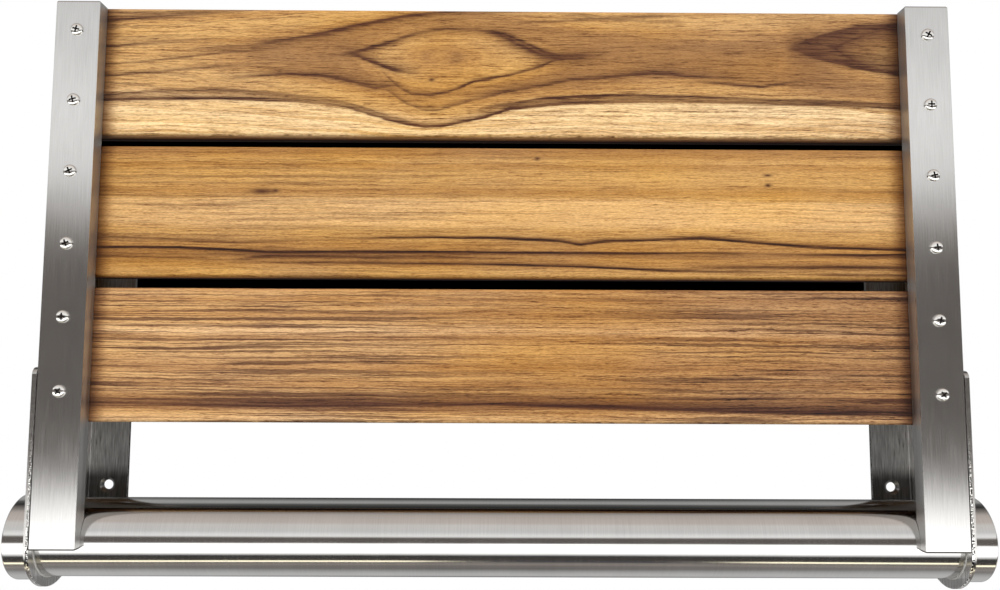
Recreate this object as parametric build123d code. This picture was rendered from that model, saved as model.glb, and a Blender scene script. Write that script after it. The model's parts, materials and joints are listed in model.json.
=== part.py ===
from build123d import *
import math
import os

# Wall-hung folding shower seat, at rest folded up against its wall.
# Millimetres. +Z is up, the wall is the plane Y = 0 and the seat stands out towards -Y.
# The origin is on the wall, at the centre of the rectangle of wall screw holes.
# Heights of the hinge and of everything on it are measured from the hinge axis.

# Side rails: rectangular stainless tubes
SEAT_WIDTH = 616.0
RAIL_WIDTH = 30.0
RAIL_DEPTH = 12.0
RAIL_WALL = 1.5
RAIL_CORNER = 2.0
RAIL_REACH = 368.0
RAIL_TAIL = 3.0
RAIL_STANDOFF = 33.0
CAP_THICKNESS = 2.5
CAP_EDGE = 1.5

# Hinge tube
TUBE_RADIUS = 26.25
TUBE_WALL = 2.0
WELD_GAP = 0.05

# Teak slats, the front one level with the ends of the rails
SLAT_WIDTH = 91.2
SLAT_GAP = 7.6
SLAT_THICKNESS = 19.0
SLAT_END_INSET = 2.0
SLAT_EDGE = 2.5
SLAT_END_EDGE = 1.0
SLAT_NAMES = ("front_slat", "middle_slat", "rear_slat")

# Slat screws: pan heads, two through each rail into each slat
SCREW_SPACING = 49.4
SCREW_SHANK_RADIUS = 2.1
SCREW_HEAD_RADIUS = 4.2
SCREW_HEAD_HEIGHT = 2.1
SCREW_HEAD_RIM = 0.7
SCREW_BITE = 12.0
SCREW_TIP = 2.5
SCREW_HOLE_CLEARANCE = 0.4
SCREW_PILOT_CLEARANCE = 0.05
RECESS_SPAN = 4.4
RECESS_WIDTH = 1.1
RECESS_DEPTH = 1.4
SCREW_TURN = 37.0

# Wall brackets: bent plates, one leg on the wall and one cheek beside the rail
PLATE = 3.0
BEND_INSIDE = 1.0
CHEEK_GAP = 0.4
AXIS_FROM_WALL = 50.0
CHEEK_RADIUS = 33.0
CHEEK_FRONT_HEIGHT = 116.0
CHEEK_TOP_LENGTH = 20.0
CHEEK_CORNER = 5.0
SLOPE_CORNER = 9.0
LEG_WIDTH = 31.6
LEG_BOTTOM = 6.0
LEG_TOP = 205.0
LEG_CORNER = 5.0
HOLE_INSET = 14.7
HOLE_LOW = 28.5
HOLE_PITCH = 70.0
HOLE_COUNT = 3
HOLE_RADIUS = 3.5
COUNTERSINK_RADIUS = 5.7

# Hinge: spindle, bush, stop and friction stack
RUN_CLEARANCE = 0.05
RUN_GAP = 0.2
PRESS_GAP = 0.02
PLUG_LENGTH = 25.0
JOURNAL_RADIUS = 9.0
JOURNAL_PAST_CHEEK = 0.8
THREAD_RADIUS = 7.0
THREAD_FLATS = 11.6
THREAD_END = 1.2
BUSH_WALL = 1.5
STOP_RADIUS = 17.0
STOP_ANGLE = 45.0
STOP_PIN_RADIUS = 5.0
STOP_PIN_DEPTH = 7.0
STOP_CLEARANCE = 0.3
FOLD_ANGLE = 90.0
THRUST_WASHER_RADIUS = 27.0
FRICTION_WASHER = 1.5
FRICTION_WASHER_RADIUS = 21.0
PRESSURE_WASHER = 2.0
PRESSURE_WASHER_RADIUS = 20.0
SPRING_RADIUS = 15.0
SPRING_PLATE = 1.0
SPRING_RISE = 0.8
NUT_FLATS = 22.0
NUT_HEIGHT = 7.0

# Hub covers: cups over the hinge nuts, pushed onto rings on the cheeks
HUB_RADIUS = 28.5
HUB_WALL = 1.5
HUB_EDGE = 1.2
HUB_CLEARANCE = 2.0
HUB_FIT = 0.1
HUB_RING_WALL = 2.2
HUB_RING_WIDTH = 4.0

# Places worked out from the sizes above
AXIS_Y = -AXIS_FROM_WALL
AXIS_Z = -(HOLE_LOW + HOLE_PITCH * (HOLE_COUNT - 1) / 2)
HINGE_AXIS = Axis((0, AXIS_Y, AXIS_Z), (1, 0, 0))
RAIL_OUTSIDE = SEAT_WIDTH / 2
RAIL_MIDDLE = RAIL_OUTSIDE - RAIL_WIDTH / 2
RAIL_FRONT = AXIS_Y - RAIL_STANDOFF
RAIL_BACK = RAIL_FRONT + RAIL_DEPTH
RAIL_TOP = AXIS_Z + RAIL_REACH
RAIL_BOTTOM = AXIS_Z - RAIL_TAIL
SLAT_LENGTH = SEAT_WIDTH - 2 * SLAT_END_INSET
SLAT_PITCH = SLAT_WIDTH + SLAT_GAP
SCREW_LENGTH = RAIL_DEPTH + SCREW_BITE
CHEEK_INSIDE = RAIL_OUTSIDE + CHEEK_GAP
CHEEK_OUTSIDE = CHEEK_INSIDE + PLATE
CHEEK_FRONT = AXIS_Y - CHEEK_RADIUS
BEND_END = -(PLATE + BEND_INSIDE)
LEG_INNER_EDGE = CHEEK_OUTSIDE - LEG_WIDTH
HOLE_X = LEG_INNER_EDGE + HOLE_INSET
BORE_RADIUS = JOURNAL_RADIUS + RUN_CLEARANCE
BUSH_RADIUS = BORE_RADIUS + BUSH_WALL
PRESSURE_FACE = CHEEK_OUTSIDE + FRICTION_WASHER + RUN_GAP
SPRING_FACE = PRESSURE_FACE + PRESSURE_WASHER
NUT_FACE = SPRING_FACE + SPRING_PLATE + SPRING_RISE
SPINDLE_END = NUT_FACE + NUT_HEIGHT + THREAD_END
HUB_END = SPINDLE_END + HUB_CLEARANCE + HUB_WALL
HUB_RING_RADIUS = HUB_RADIUS - HUB_WALL - HUB_FIT


def across(x):
    """Plane square to the hinge axis at x, with its own x along Y and its own y along Z."""
    return Plane((x, AXIS_Y, AXIS_Z), x_dir=(0, 1, 0), z_dir=(1, 0, 0))


def facing_front(x, y, z):
    """Plane at a point, facing the front of the seat."""
    return Plane((x, y, z), x_dir=(1, 0, 0), z_dir=(0, -1, 0))


def turned(points):
    """Solid turned about the hinge axis, from points given as (along X, radius)."""
    section = Polyline(*[(x, AXIS_Y, AXIS_Z + radius) for x, radius in points], close=True)
    return revolve(make_face(section), HINGE_AXIS)


def ring(x_start, x_end, inner, outer):
    """Plain ring on the hinge axis."""
    return turned([(x_start, inner), (x_end, inner), (x_end, outer), (x_start, outer)])


def rod(x_start, x_end, radius):
    """Plain round bar on the hinge axis."""
    return extrude(across(x_start) * Circle(radius), x_end - x_start)


def stop_bar(x_start, x_end, radius):
    """Round bar along X where the stop pin sits."""
    spot = Rot(0, 0, STOP_ANGLE) * Pos(STOP_RADIUS, 0) * Circle(radius)
    return extrude(across(x_start) * spot, x_end - x_start)


def round_corner(face, corner, radius):
    """The face with its vertex nearest to corner rounded."""
    return fillet(face.vertices().sort_by_distance(corner)[0], radius)


def bracket_outline():
    """Side outline of a wall bracket, in Y and Z from the hinge axis: round end, front, top, slope, leg."""
    land = BEND_END - AXIS_Y
    back = -AXIS_Y
    corner = (-CHEEK_RADIUS, CHEEK_FRONT_HEIGHT)
    slope_foot = (CHEEK_TOP_LENGTH - CHEEK_RADIUS, CHEEK_FRONT_HEIGHT)
    shoulder = (land - SLOPE_CORNER, LEG_TOP)
    reach = math.hypot(land, LEG_BOTTOM)
    tangent = math.atan2(LEG_BOTTOM, land) - math.acos(CHEEK_RADIUS / reach)
    lowest = (tangent - math.pi) / 2
    touch = (CHEEK_RADIUS * math.cos(tangent), CHEEK_RADIUS * math.sin(tangent))
    bottom = (CHEEK_RADIUS * math.cos(lowest), CHEEK_RADIUS * math.sin(lowest))
    round_end = ThreePointArc(touch, bottom, (-CHEEK_RADIUS, 0))
    sides = Polyline(
        (-CHEEK_RADIUS, 0),
        corner,
        slope_foot,
        shoulder,
        (back, LEG_TOP),
        (back, LEG_BOTTOM),
        (land, LEG_BOTTOM),
        touch,
    )
    outline = make_face([round_end, *sides.edges()])
    outline = round_corner(outline, corner, CHEEK_CORNER)
    outline = round_corner(outline, slope_foot, SLOPE_CORNER)
    return round_corner(outline, shoulder, SLOPE_CORNER)


def bent_plate():
    """Wall leg and cheek bent from one plate, seen from above, as tall as the whole bracket."""
    section = make_face(
        Polyline(
            (LEG_INNER_EDGE, 0),
            (CHEEK_OUTSIDE, 0),
            (CHEEK_OUTSIDE, CHEEK_FRONT),
            (CHEEK_INSIDE, CHEEK_FRONT),
            (CHEEK_INSIDE, -PLATE),
            (LEG_INNER_EDGE, -PLATE),
            close=True,
        )
    )
    section = round_corner(section, (CHEEK_OUTSIDE, 0), BEND_INSIDE + PLATE)
    section = round_corner(section, (CHEEK_INSIDE, -PLATE), BEND_INSIDE)
    return Pos(0, 0, AXIS_Z - CHEEK_RADIUS) * extrude(section, CHEEK_RADIUS + LEG_TOP)


def wall_hole(row):
    """Cutter for one wall hole: a clear hole with a right-angled countersink in the leg's front."""
    at_front = (Align.CENTER, Align.CENTER, Align.MAX)
    hole = Cylinder(HOLE_RADIUS, PLATE, align=at_front)
    sink = Cone(HOLE_RADIUS, COUNTERSINK_RADIUS, COUNTERSINK_RADIUS - HOLE_RADIUS, align=at_front)
    height = AXIS_Z + HOLE_LOW + row * HOLE_PITCH
    return facing_front(HOLE_X, -PLATE, height) * (hole + sink)


def wall_bracket():
    """Bent plate cut to its side outline, with wall holes, hinge bore, stop pin hole and hub ring."""
    side = extrude(across(LEG_INNER_EDGE) * bracket_outline(), LEG_WIDTH)
    bracket = bent_plate() & side
    corners = bracket.edges().filter_by(Axis.Y).group_by(Axis.X)[0]
    bracket = fillet(corners, LEG_CORNER)
    for row in range(HOLE_COUNT):
        bracket -= wall_hole(row)
    bracket -= rod(CHEEK_INSIDE, CHEEK_OUTSIDE, BUSH_RADIUS + PRESS_GAP)
    bracket -= stop_bar(CHEEK_INSIDE, CHEEK_OUTSIDE, STOP_PIN_RADIUS + PRESS_GAP)
    ring_end = CHEEK_OUTSIDE + HUB_RING_WIDTH
    return bracket + ring(CHEEK_OUTSIDE, ring_end, HUB_RING_RADIUS - HUB_RING_WALL, HUB_RING_RADIUS)


def hinge_bush():
    """Plain nylon sleeve pressed into the cheek."""
    return ring(CHEEK_INSIDE, CHEEK_OUTSIDE, BORE_RADIUS, BUSH_RADIUS)


def thrust_washer():
    """Thin nylon washer between the cheek and the end of the hinge tube, held by the stop pin."""
    start = RAIL_OUTSIDE + RUN_GAP
    washer = ring(start, CHEEK_INSIDE, BORE_RADIUS, THRUST_WASHER_RADIUS)
    return washer - stop_bar(start, CHEEK_INSIDE, STOP_PIN_RADIUS + PRESS_GAP)


def stop_pin():
    """Dowel pressed through the cheek, reaching into the groove of the spindle."""
    return stop_bar(RAIL_OUTSIDE - STOP_PIN_DEPTH, CHEEK_OUTSIDE, STOP_PIN_RADIUS)


def friction_washer():
    """Washer that the seat's weight is held by, clamped against the outside of the cheek."""
    return ring(CHEEK_OUTSIDE, CHEEK_OUTSIDE + FRICTION_WASHER, BORE_RADIUS, FRICTION_WASHER_RADIUS)


def hub_cover():
    """Drawn cup over the hinge nut, with a rounded rim."""
    inside = HUB_RADIUS - HUB_WALL
    floor = HUB_END - HUB_WALL
    cup = turned(
        [
            (CHEEK_OUTSIDE, inside),
            (floor, inside),
            (floor, 0),
            (HUB_END, 0),
            (HUB_END, HUB_RADIUS),
            (CHEEK_OUTSIDE, HUB_RADIUS),
        ]
    )
    rim = cup.edges().filter_by(GeomType.CIRCLE).group_by(Axis.X)[-1]
    return fillet(rim, HUB_EDGE)


def hinge_tube():
    """Round tube across the back of the seat, as wide as the rails."""
    return ring(-RAIL_OUTSIDE, RAIL_OUTSIDE, TUBE_RADIUS - TUBE_WALL, TUBE_RADIUS)


def hinge_spindle():
    """Plug in the end of the tube, with a journal, a flatted thread and a groove for the stop pin."""
    spindle = rod(RAIL_OUTSIDE - PLUG_LENGTH, RAIL_OUTSIDE, TUBE_RADIUS - TUBE_WALL - WELD_GAP)
    journal_end = CHEEK_OUTSIDE + JOURNAL_PAST_CHEEK
    spindle += rod(RAIL_OUTSIDE, journal_end, JOURNAL_RADIUS)
    spindle += thread(journal_end, SPINDLE_END, 0)
    sweep = CenterArc((0, 0), STOP_RADIUS, STOP_ANGLE - FOLD_ANGLE, FOLD_ANGLE)
    groove = across(RAIL_OUTSIDE) * SlotArc(sweep, 2 * (STOP_PIN_RADIUS + STOP_CLEARANCE))
    return spindle - extrude(groove, -(STOP_PIN_DEPTH + STOP_CLEARANCE))


def thread(x_start, x_end, clearance):
    """Threaded end with two flats, or with a clearance the hole that fits it."""
    across_flats = THREAD_FLATS + 2 * clearance
    section = Circle(THREAD_RADIUS + clearance) & Rectangle(2 * (THREAD_RADIUS + clearance), across_flats)
    return extrude(across(x_start) * section, x_end - x_start)


def pressure_washer():
    """Steel washer that turns with the spindle, on the flats of its thread."""
    washer = rod(PRESSURE_FACE, SPRING_FACE, PRESSURE_WASHER_RADIUS)
    return washer - thread(PRESSURE_FACE, SPRING_FACE, RUN_CLEARANCE)


def disc_spring():
    """Conical spring washer that keeps the friction washers pressed."""
    inner = THREAD_RADIUS + RUN_CLEARANCE
    return turned(
        [
            (SPRING_FACE, SPRING_RADIUS),
            (SPRING_FACE + SPRING_PLATE, SPRING_RADIUS),
            (NUT_FACE, inner),
            (NUT_FACE - SPRING_PLATE, inner),
        ]
    )


def lock_nut():
    """Hexagon nut that sets the friction of the hinge."""
    hexagon = RegularPolygon(NUT_FLATS / 2, 6, major_radius=False) - Circle(THREAD_RADIUS + PRESS_GAP)
    return extrude(across(NUT_FACE) * hexagon, NUT_HEIGHT)


def rail_section(inset):
    """Outline of a rail, or of its hollow when inset by the wall."""
    corner = max(RAIL_CORNER - inset, RAIL_CORNER - RAIL_WALL)
    return RectangleRounded(RAIL_WIDTH - 2 * inset, RAIL_DEPTH - 2 * inset, corner)


def rail_place(height):
    """Plane across the rail at a height, centred on the rail."""
    return Plane((RAIL_MIDDLE, (RAIL_FRONT + RAIL_BACK) / 2, height))


def tube_cutter():
    """Bar that cuts the saddle where a rail lies on the hinge tube."""
    return rod(RAIL_OUTSIDE - RAIL_WIDTH, RAIL_OUTSIDE, TUBE_RADIUS + WELD_GAP)


def screw_heights():
    """Heights of the screws above the hinge axis, two for each slat."""
    for index in range(len(SLAT_NAMES)):
        middle = slat_middle(index)
        yield middle + SCREW_SPACING / 2
        yield middle - SCREW_SPACING / 2


def slat_middle(index):
    """Height of the middle of a slat above the hinge axis, counted from the front slat."""
    return RAIL_REACH - SLAT_WIDTH / 2 - index * SLAT_PITCH


def side_rail():
    """Rectangular tube, saddled onto the hinge tube and drilled for the slat screws."""
    start = RAIL_BOTTOM + CAP_THICKNESS
    length = RAIL_TOP - CAP_THICKNESS - start
    rail = extrude(rail_place(start) * (rail_section(0) - rail_section(RAIL_WALL)), length)
    rail -= tube_cutter()
    for height in screw_heights():
        hole = facing_front(RAIL_MIDDLE, RAIL_FRONT, AXIS_Z + height)
        hole *= Circle(SCREW_SHANK_RADIUS + SCREW_HOLE_CLEARANCE)
        rail -= extrude(hole, -RAIL_DEPTH)
    return rail


def rail_top_cap():
    """Plate welded over the free end of a rail, its edges rounded."""
    cap = extrude(rail_place(RAIL_TOP) * rail_section(0), -CAP_THICKNESS)
    return fillet(cap.faces().sort_by(Axis.Z)[-1].edges(), CAP_EDGE)


def rail_foot_cap():
    """Plate that closes the lower end of a rail in front of the hinge tube."""
    cap = extrude(rail_place(RAIL_BOTTOM) * rail_section(0), CAP_THICKNESS) - tube_cutter()
    return cap.solids().sort_by(Axis.Y)[0]


def slat(index):
    """Teak board with eased edges and pilot holes for its screws."""
    middle = AXIS_Z + slat_middle(index)
    board = Pos(0, RAIL_BACK + SLAT_THICKNESS / 2, middle) * Box(SLAT_LENGTH, SLAT_THICKNESS, SLAT_WIDTH)
    board = fillet(board.edges().filter_by(Axis.X), SLAT_EDGE)
    ends = board.faces().filter_by(Axis.X)
    board = chamfer(ends.edges(), SLAT_END_EDGE)
    for side in (-1, 1):
        for offset in (-SCREW_SPACING / 2, SCREW_SPACING / 2):
            mouth = facing_front(side * RAIL_MIDDLE, RAIL_BACK, middle + offset)
            hole = mouth * Circle(SCREW_SHANK_RADIUS + SCREW_PILOT_CLEARANCE)
            board -= extrude(hole, -(SCREW_BITE + SCREW_PILOT_CLEARANCE))
    return board


def slat_screw():
    """One pan head screw, standing on its own plane with its head up."""
    crown = (0, SCREW_HEAD_HEIGHT)
    shoulder = (SCREW_HEAD_RADIUS, SCREW_HEAD_RIM)
    dome_radius = (SCREW_HEAD_RADIUS**2 / (SCREW_HEAD_HEIGHT - SCREW_HEAD_RIM)
                   + SCREW_HEAD_HEIGHT - SCREW_HEAD_RIM) / 2
    dome = RadiusArc(crown, shoulder, dome_radius)
    rest = Polyline(
        shoulder,
        (SCREW_HEAD_RADIUS, 0),
        (SCREW_SHANK_RADIUS, 0),
        (SCREW_SHANK_RADIUS, SCREW_TIP - SCREW_LENGTH),
        (0, -SCREW_LENGTH),
        crown,
    )
    screw = revolve(Plane.XZ * make_face([dome, *rest.edges()]), Axis.Z)
    for turn in (0, 90):
        arm = Box(RECESS_SPAN, RECESS_WIDTH, RECESS_DEPTH, align=(Align.CENTER, Align.CENTER, Align.MAX))
        screw -= Pos(0, 0, SCREW_HEAD_HEIGHT) * Rot(0, 0, turn) * arm
    return screw


def slat_screws():
    """The screws of one rail, each stopped at its own turn."""
    screw = slat_screw()
    places = [facing_front(RAIL_MIDDLE, RAIL_FRONT, AXIS_Z + height) for height in screw_heights()]
    return Compound([place * Rot(0, 0, SCREW_TURN * number) * screw for number, place in enumerate(places)])


PAIRS = {
    "wall_bracket": wall_bracket,
    "hinge_bush": hinge_bush,
    "thrust_washer": thrust_washer,
    "stop_pin": stop_pin,
    "friction_washer": friction_washer,
    "hub_cover": hub_cover,
    "hinge_spindle": hinge_spindle,
    "pressure_washer": pressure_washer,
    "disc_spring": disc_spring,
    "lock_nut": lock_nut,
    "side_rail": side_rail,
    "rail_top_cap": rail_top_cap,
    "rail_foot_cap": rail_foot_cap,
    "slat_screws": slat_screws,
}

pieces = {"hinge_tube": hinge_tube()}
for index, name in enumerate(SLAT_NAMES):
    pieces[name] = slat(index)
for name, make in PAIRS.items():
    right = make()
    pieces[f"right_{name}"] = right
    pieces[f"left_{name}"] = mirror(right, about=Plane.YZ)

os.makedirs("parts", exist_ok=True)
for name, piece in pieces.items():
    export_step(piece, f"parts/{name}.step")
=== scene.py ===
"""Folding teak shower seat, dressed for a studio picture.

Each visible piece of the seat is built here as a finished mesh around the frame, in metres.
The wall is the plane Y = 0, +Z is up and the seat hangs folded up in front of the wall, towards -Y.
"""
import json
import math

import bmesh
import bpy
from bpy.props import FloatProperty, FloatVectorProperty, IntProperty, PointerProperty
from mathutils import Matrix, Vector


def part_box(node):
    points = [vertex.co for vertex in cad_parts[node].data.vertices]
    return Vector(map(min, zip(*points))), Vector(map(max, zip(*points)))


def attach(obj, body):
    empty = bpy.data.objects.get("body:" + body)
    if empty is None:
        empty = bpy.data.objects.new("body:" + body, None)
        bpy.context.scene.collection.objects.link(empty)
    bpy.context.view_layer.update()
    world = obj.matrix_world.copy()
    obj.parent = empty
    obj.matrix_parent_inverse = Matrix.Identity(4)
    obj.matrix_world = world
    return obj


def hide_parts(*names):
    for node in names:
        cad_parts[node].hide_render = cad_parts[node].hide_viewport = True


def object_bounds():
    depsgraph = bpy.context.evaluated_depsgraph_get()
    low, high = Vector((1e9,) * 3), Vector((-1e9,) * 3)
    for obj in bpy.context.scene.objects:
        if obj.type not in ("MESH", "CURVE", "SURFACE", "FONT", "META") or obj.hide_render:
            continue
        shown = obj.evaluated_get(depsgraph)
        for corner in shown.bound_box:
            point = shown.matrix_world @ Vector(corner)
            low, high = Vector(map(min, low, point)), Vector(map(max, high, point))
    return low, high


bl_info = {
    "name": "Folding teak shower seat",
    "version": (1, 0, 0),
    "blender": (4, 5, 0),
    "location": "3D View > Sidebar > Shower seat",
    "description": "Dresses the frame of a folding shower seat with teak and stainless steel",
    "category": "Object",
}

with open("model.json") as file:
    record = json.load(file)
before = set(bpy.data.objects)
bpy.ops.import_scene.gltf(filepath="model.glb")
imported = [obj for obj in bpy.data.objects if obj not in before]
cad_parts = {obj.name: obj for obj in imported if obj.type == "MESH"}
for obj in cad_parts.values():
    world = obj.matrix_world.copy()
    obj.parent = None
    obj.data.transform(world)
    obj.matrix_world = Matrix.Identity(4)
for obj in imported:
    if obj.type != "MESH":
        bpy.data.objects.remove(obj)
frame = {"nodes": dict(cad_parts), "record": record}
CAD_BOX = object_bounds()

MM = 0.001
SIDES = {"left": -1, "right": 1}
SLATS = ("front_slat", "middle_slat", "rear_slat")
TUBE_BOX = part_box("hinge_tube")
SLAT_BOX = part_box(SLATS[0])
SLAT_HALF = (SLAT_BOX[1] - SLAT_BOX[0]) / 2
RAIL_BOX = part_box("right_side_rail")
RAIL_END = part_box("right_rail_top_cap")[1].z
RAIL_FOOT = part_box("right_rail_foot_cap")[0].z
SCREW_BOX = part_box("right_slat_screws")
BRACKET_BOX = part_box("right_wall_bracket")
COVER_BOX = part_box("right_hub_cover")
AXIS = (TUBE_BOX[0] + TUBE_BOX[1]) / 2
TUBE_RADIUS = (TUBE_BOX[1].z - TUBE_BOX[0].z) / 2
WALL_HOLES = frame["record"]["mounts"][0]["dims"]


def linear(hex_colour):
    """Linear red, green and blue of an sRGB hex colour."""
    shares = [int(hex_colour[start:start + 2], 16) / 255 for start in (1, 3, 5)]
    return [share / 12.92 if share <= 0.04045 else ((share + 0.055) / 1.055) ** 2.4 for share in shares]


def length(name, description, default):
    """A size that a user may change, in metres."""
    return FloatProperty(name=name, description=description, default=default, unit="LENGTH", precision=5)


def angle(name, description, degrees):
    """An angle that a user may change."""
    return FloatProperty(name=name, description=description, default=math.radians(degrees), subtype="ANGLE")


def colour(name, description, hex_colour):
    """A colour that a user may change."""
    return FloatVectorProperty(
        name=name, description=description, default=linear(hex_colour), subtype="COLOR", size=3, min=0, max=1
    )


class SlatSettings(bpy.types.PropertyGroup):
    edge: length("Edge radius", "Rounding of the long edges", 2.5 * MM)
    end_edge: length("End chamfer", "Chamfer round the sawn ends", 1.0 * MM)
    sapwood: colour("Sapwood", "Cream wood at the edge of the log", "#ECC48C")
    gold: colour("Gold", "Clear golden heartwood", "#E0B074")
    tan: colour("Tan", "Common heartwood", "#CE9C5C")
    honey: colour("Honey", "Warm heartwood", "#B98548")
    brown: colour("Brown", "Dense heartwood", "#A0703E")
    dark: colour("Dark", "Dark growth lines", "#57301A")


class RailSettings(bpy.types.PropertyGroup):
    corner: length("Corner radius", "Rounding of the long corners", 0.8 * MM)
    end_edge: length("End radius", "Rounding of the ground top end", 1.5 * MM)
    seam: length("Seam", "Width of the weld seam round the foot", 0.9 * MM)


class ScrewSettings(bpy.types.PropertyGroup):
    head_radius: length("Head radius", "Radius of the pan head", 4.2 * MM)
    head_rim: length("Rim height", "Straight part of the head's side", 0.7 * MM)
    recess_span: length("Recess span", "Length of each slot of the cross recess", 4.8 * MM)
    recess_width: length("Recess width", "Width of each slot of the cross recess", 1.1 * MM)
    recess_depth: length("Recess depth", "Depth of the cross recess", 1.4 * MM)
    count: IntProperty(name="Screws", description="Screws in each rail", default=6, min=2)


class HingeSettings(bpy.types.PropertyGroup):
    tube_wall: length("Tube wall", "Wall of the hinge tube", 2.0 * MM)
    tube_edge: length("Tube edge", "Broken edge at the tube's ends", 0.4 * MM)
    cover_wall: length("Cover wall", "Wall of the hub covers", 1.5 * MM)
    cover_edge: length("Cover edge", "Rounding of the hub covers", 1.2 * MM)


class BracketSettings(bpy.types.PropertyGroup):
    plate: length("Plate", "Thickness of the plate", 3.0 * MM)
    bend: length("Bend", "Inside radius of the bend", 1.0 * MM)
    front_height: length("Cheek height", "Height of the cheek's front above the hinge axis", 116.0 * MM)
    top_length: length("Cheek top", "Level top of the cheek, from its front", 20.0 * MM)
    cheek_corner: length("Cheek corner", "Rounding of the cheek's upper front corner", 5.0 * MM)
    slope_corner: length("Slope corner", "Rounding at both ends of the slope up to the leg", 9.0 * MM)
    leg_corner: length("Leg corner", "Rounding of the wall leg's corners", 5.0 * MM)
    leg_bottom: length("Leg bottom", "Height of the leg's lower end above the hinge axis", 6.0 * MM)
    countersink: length("Countersink", "Radius of the countersinks", 5.7 * MM)
    broken_edge: length("Broken edge", "Rounding of the cut edges", 0.3 * MM)


class FinishSettings(bpy.types.PropertyGroup):
    steel: colour("Stainless steel", "Brushed and polished stainless steel", "#C4C3C1")
    bright_steel: colour("Screw steel", "Tumbled screw heads", "#E0DEDA")
    # Partly painted shade: the dark weld seam also stands for the shadow line where the rails meet the tube
    seam_and_shade_steel: colour("Weld seam", "Scaled seam between the rails and the tube", "#35312E")
    # Painted shade: the dark colour of the cross recesses stands for the shade inside them
    recess_shade_steel: colour("Recess steel", "Soiled cross recesses of the screws", "#3A3634")
    cut_steel: colour("Cut edge", "Rough torch cut edge of the plate", "#B4B2AF")
    turned_steel: colour("Turned steel", "Machined hinge pieces", "#A9A7A4")
    nylon: colour("Nylon", "Bushes and thrust washers", "#F7F5EF")
    lining: colour("Friction lining", "Friction washers", "#3B332C")


class StageSettings(bpy.types.PropertyGroup):
    camera_x: length("Camera X", "Place of the camera across the seat", -4.8 * MM)
    camera_y: length("Camera Y", "Place of the camera in front of the wall", -643.3 * MM)
    camera_z: length("Camera Z", "Place of the camera above the middle wall holes", 17.0 * MM)
    tilt: angle("Tilt", "Camera looking up", 5.08)
    roll: angle("Roll", "Camera leaning", -0.24)
    turn: angle("Turn", "Camera turned", -0.345)
    lens: FloatProperty(
        name="Lens", description="Focal length on a 36 mm sensor", default=30.225, unit="CAMERA"
    )
    floor_drop: length("Floor", "Depth of the floor below the middle wall holes", 450.0 * MM)
    floor: colour("Floor", "Pale studio floor", "#EDECE9")


def add(tree, kind, *inputs, stops=(), **named):
    """Adds a shader node of a kind, which in capitals is the operation of a Math node.

    Inputs go to its sockets in order. Named values with a capital go to sockets, with _ for a space, and the
    others are settings. A node as an input gives its first output. Stops are those of a colour ramp.
    """
    maths = kind.isupper()
    node = tree.nodes.new("ShaderNodeMath" if maths else f"ShaderNode{kind}")
    if maths:
        node.operation = kind
    for name, value in named.items():
        if name.islower():
            setattr(node, name, value)
    pairs = list(zip([socket for socket in node.inputs if socket.enabled], inputs))
    pairs += [(node.inputs[name.replace("_", " ")], named[name]) for name in named if not name.islower()]
    for socket, value in pairs:
        if isinstance(value, bpy.types.Node):
            value = next(output for output in value.outputs if output.enabled)
        if isinstance(value, bpy.types.NodeSocket):
            tree.links.new(value, socket)
        else:
            socket.default_value = value
    if stops:
        elements = node.color_ramp.elements
        while len(elements) < len(stops):
            elements.new(1.0)
        for element, (place, shade) in zip(elements, stops):
            element.position = place
            element.color = (*shade, 1.0)
    return node


def new_material(name):
    """Empty node material, with its node tree and the place on its piece in metres."""
    material = bpy.data.materials.new(name)
    material.use_nodes = True
    tree = material.node_tree
    tree.nodes.clear()
    return material, tree, add(tree, "TexCoord").outputs["Object"]


def finish_material(tree, **sockets):
    """Ends a material with its surface shader, given its sockets with _ for a space."""
    surface = add(tree, "BsdfPrincipled", **sockets)
    add(tree, "OutputMaterial", Surface=surface)


def pattern(tree, spot, sizes, detail=2.0):
    """Noise about 0.5, whose blotches have these sizes in millimetres along the three axes of spot."""
    scale = [1 / (size * MM) for size in sizes]
    scaled = add(tree, "VectorMath", spot, scale, operation="MULTIPLY")
    return add(tree, "TexNoise", Vector=scaled, Scale=1.0, Detail=detail, Roughness=0.55)


def painted_leg_shade(tree, spot, value, dull, shade_height):
    """Tone and roughness of a bracket whose wall leg has painted shade.

    Painted shade darkens the leg's lower end, up to a height near the tube, and the leg behind the slats.
    Its wall side is left bright and keeps the mill's matt finish.
    """
    split = add(tree, "SeparateXYZ", Vector=spot).outputs
    cheek = add(tree, "LESS_THAN", split["Y"], -6 * MM)
    wall_side = add(tree, "GREATER_THAN", split["Y"], -0.5 * MM)
    # Painted shade on the leg's lower end, near the tube
    low_shade = add(tree, "MapRange", split["Z"], shade_height - 10 * MM, shade_height, To_Min=0.4)
    value = add(tree, "MULTIPLY", value, add(tree, "MAXIMUM", low_shade, cheek))
    # Painted shade on the leg behind the slats
    shade_behind_slats = add(tree, "MapRange", split["Z"], shade_height + 48 * MM, shade_height + 58 * MM, 1.0, 0.25)
    unpainted = add(tree, "MAXIMUM", cheek, wall_side)
    value = add(tree, "MULTIPLY", value, add(tree, "MAXIMUM", shade_behind_slats, unpainted))
    dull = add(tree, "MAXIMUM", dull, add(tree, "MULTIPLY", wall_side, 0.7))
    return value, dull


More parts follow.
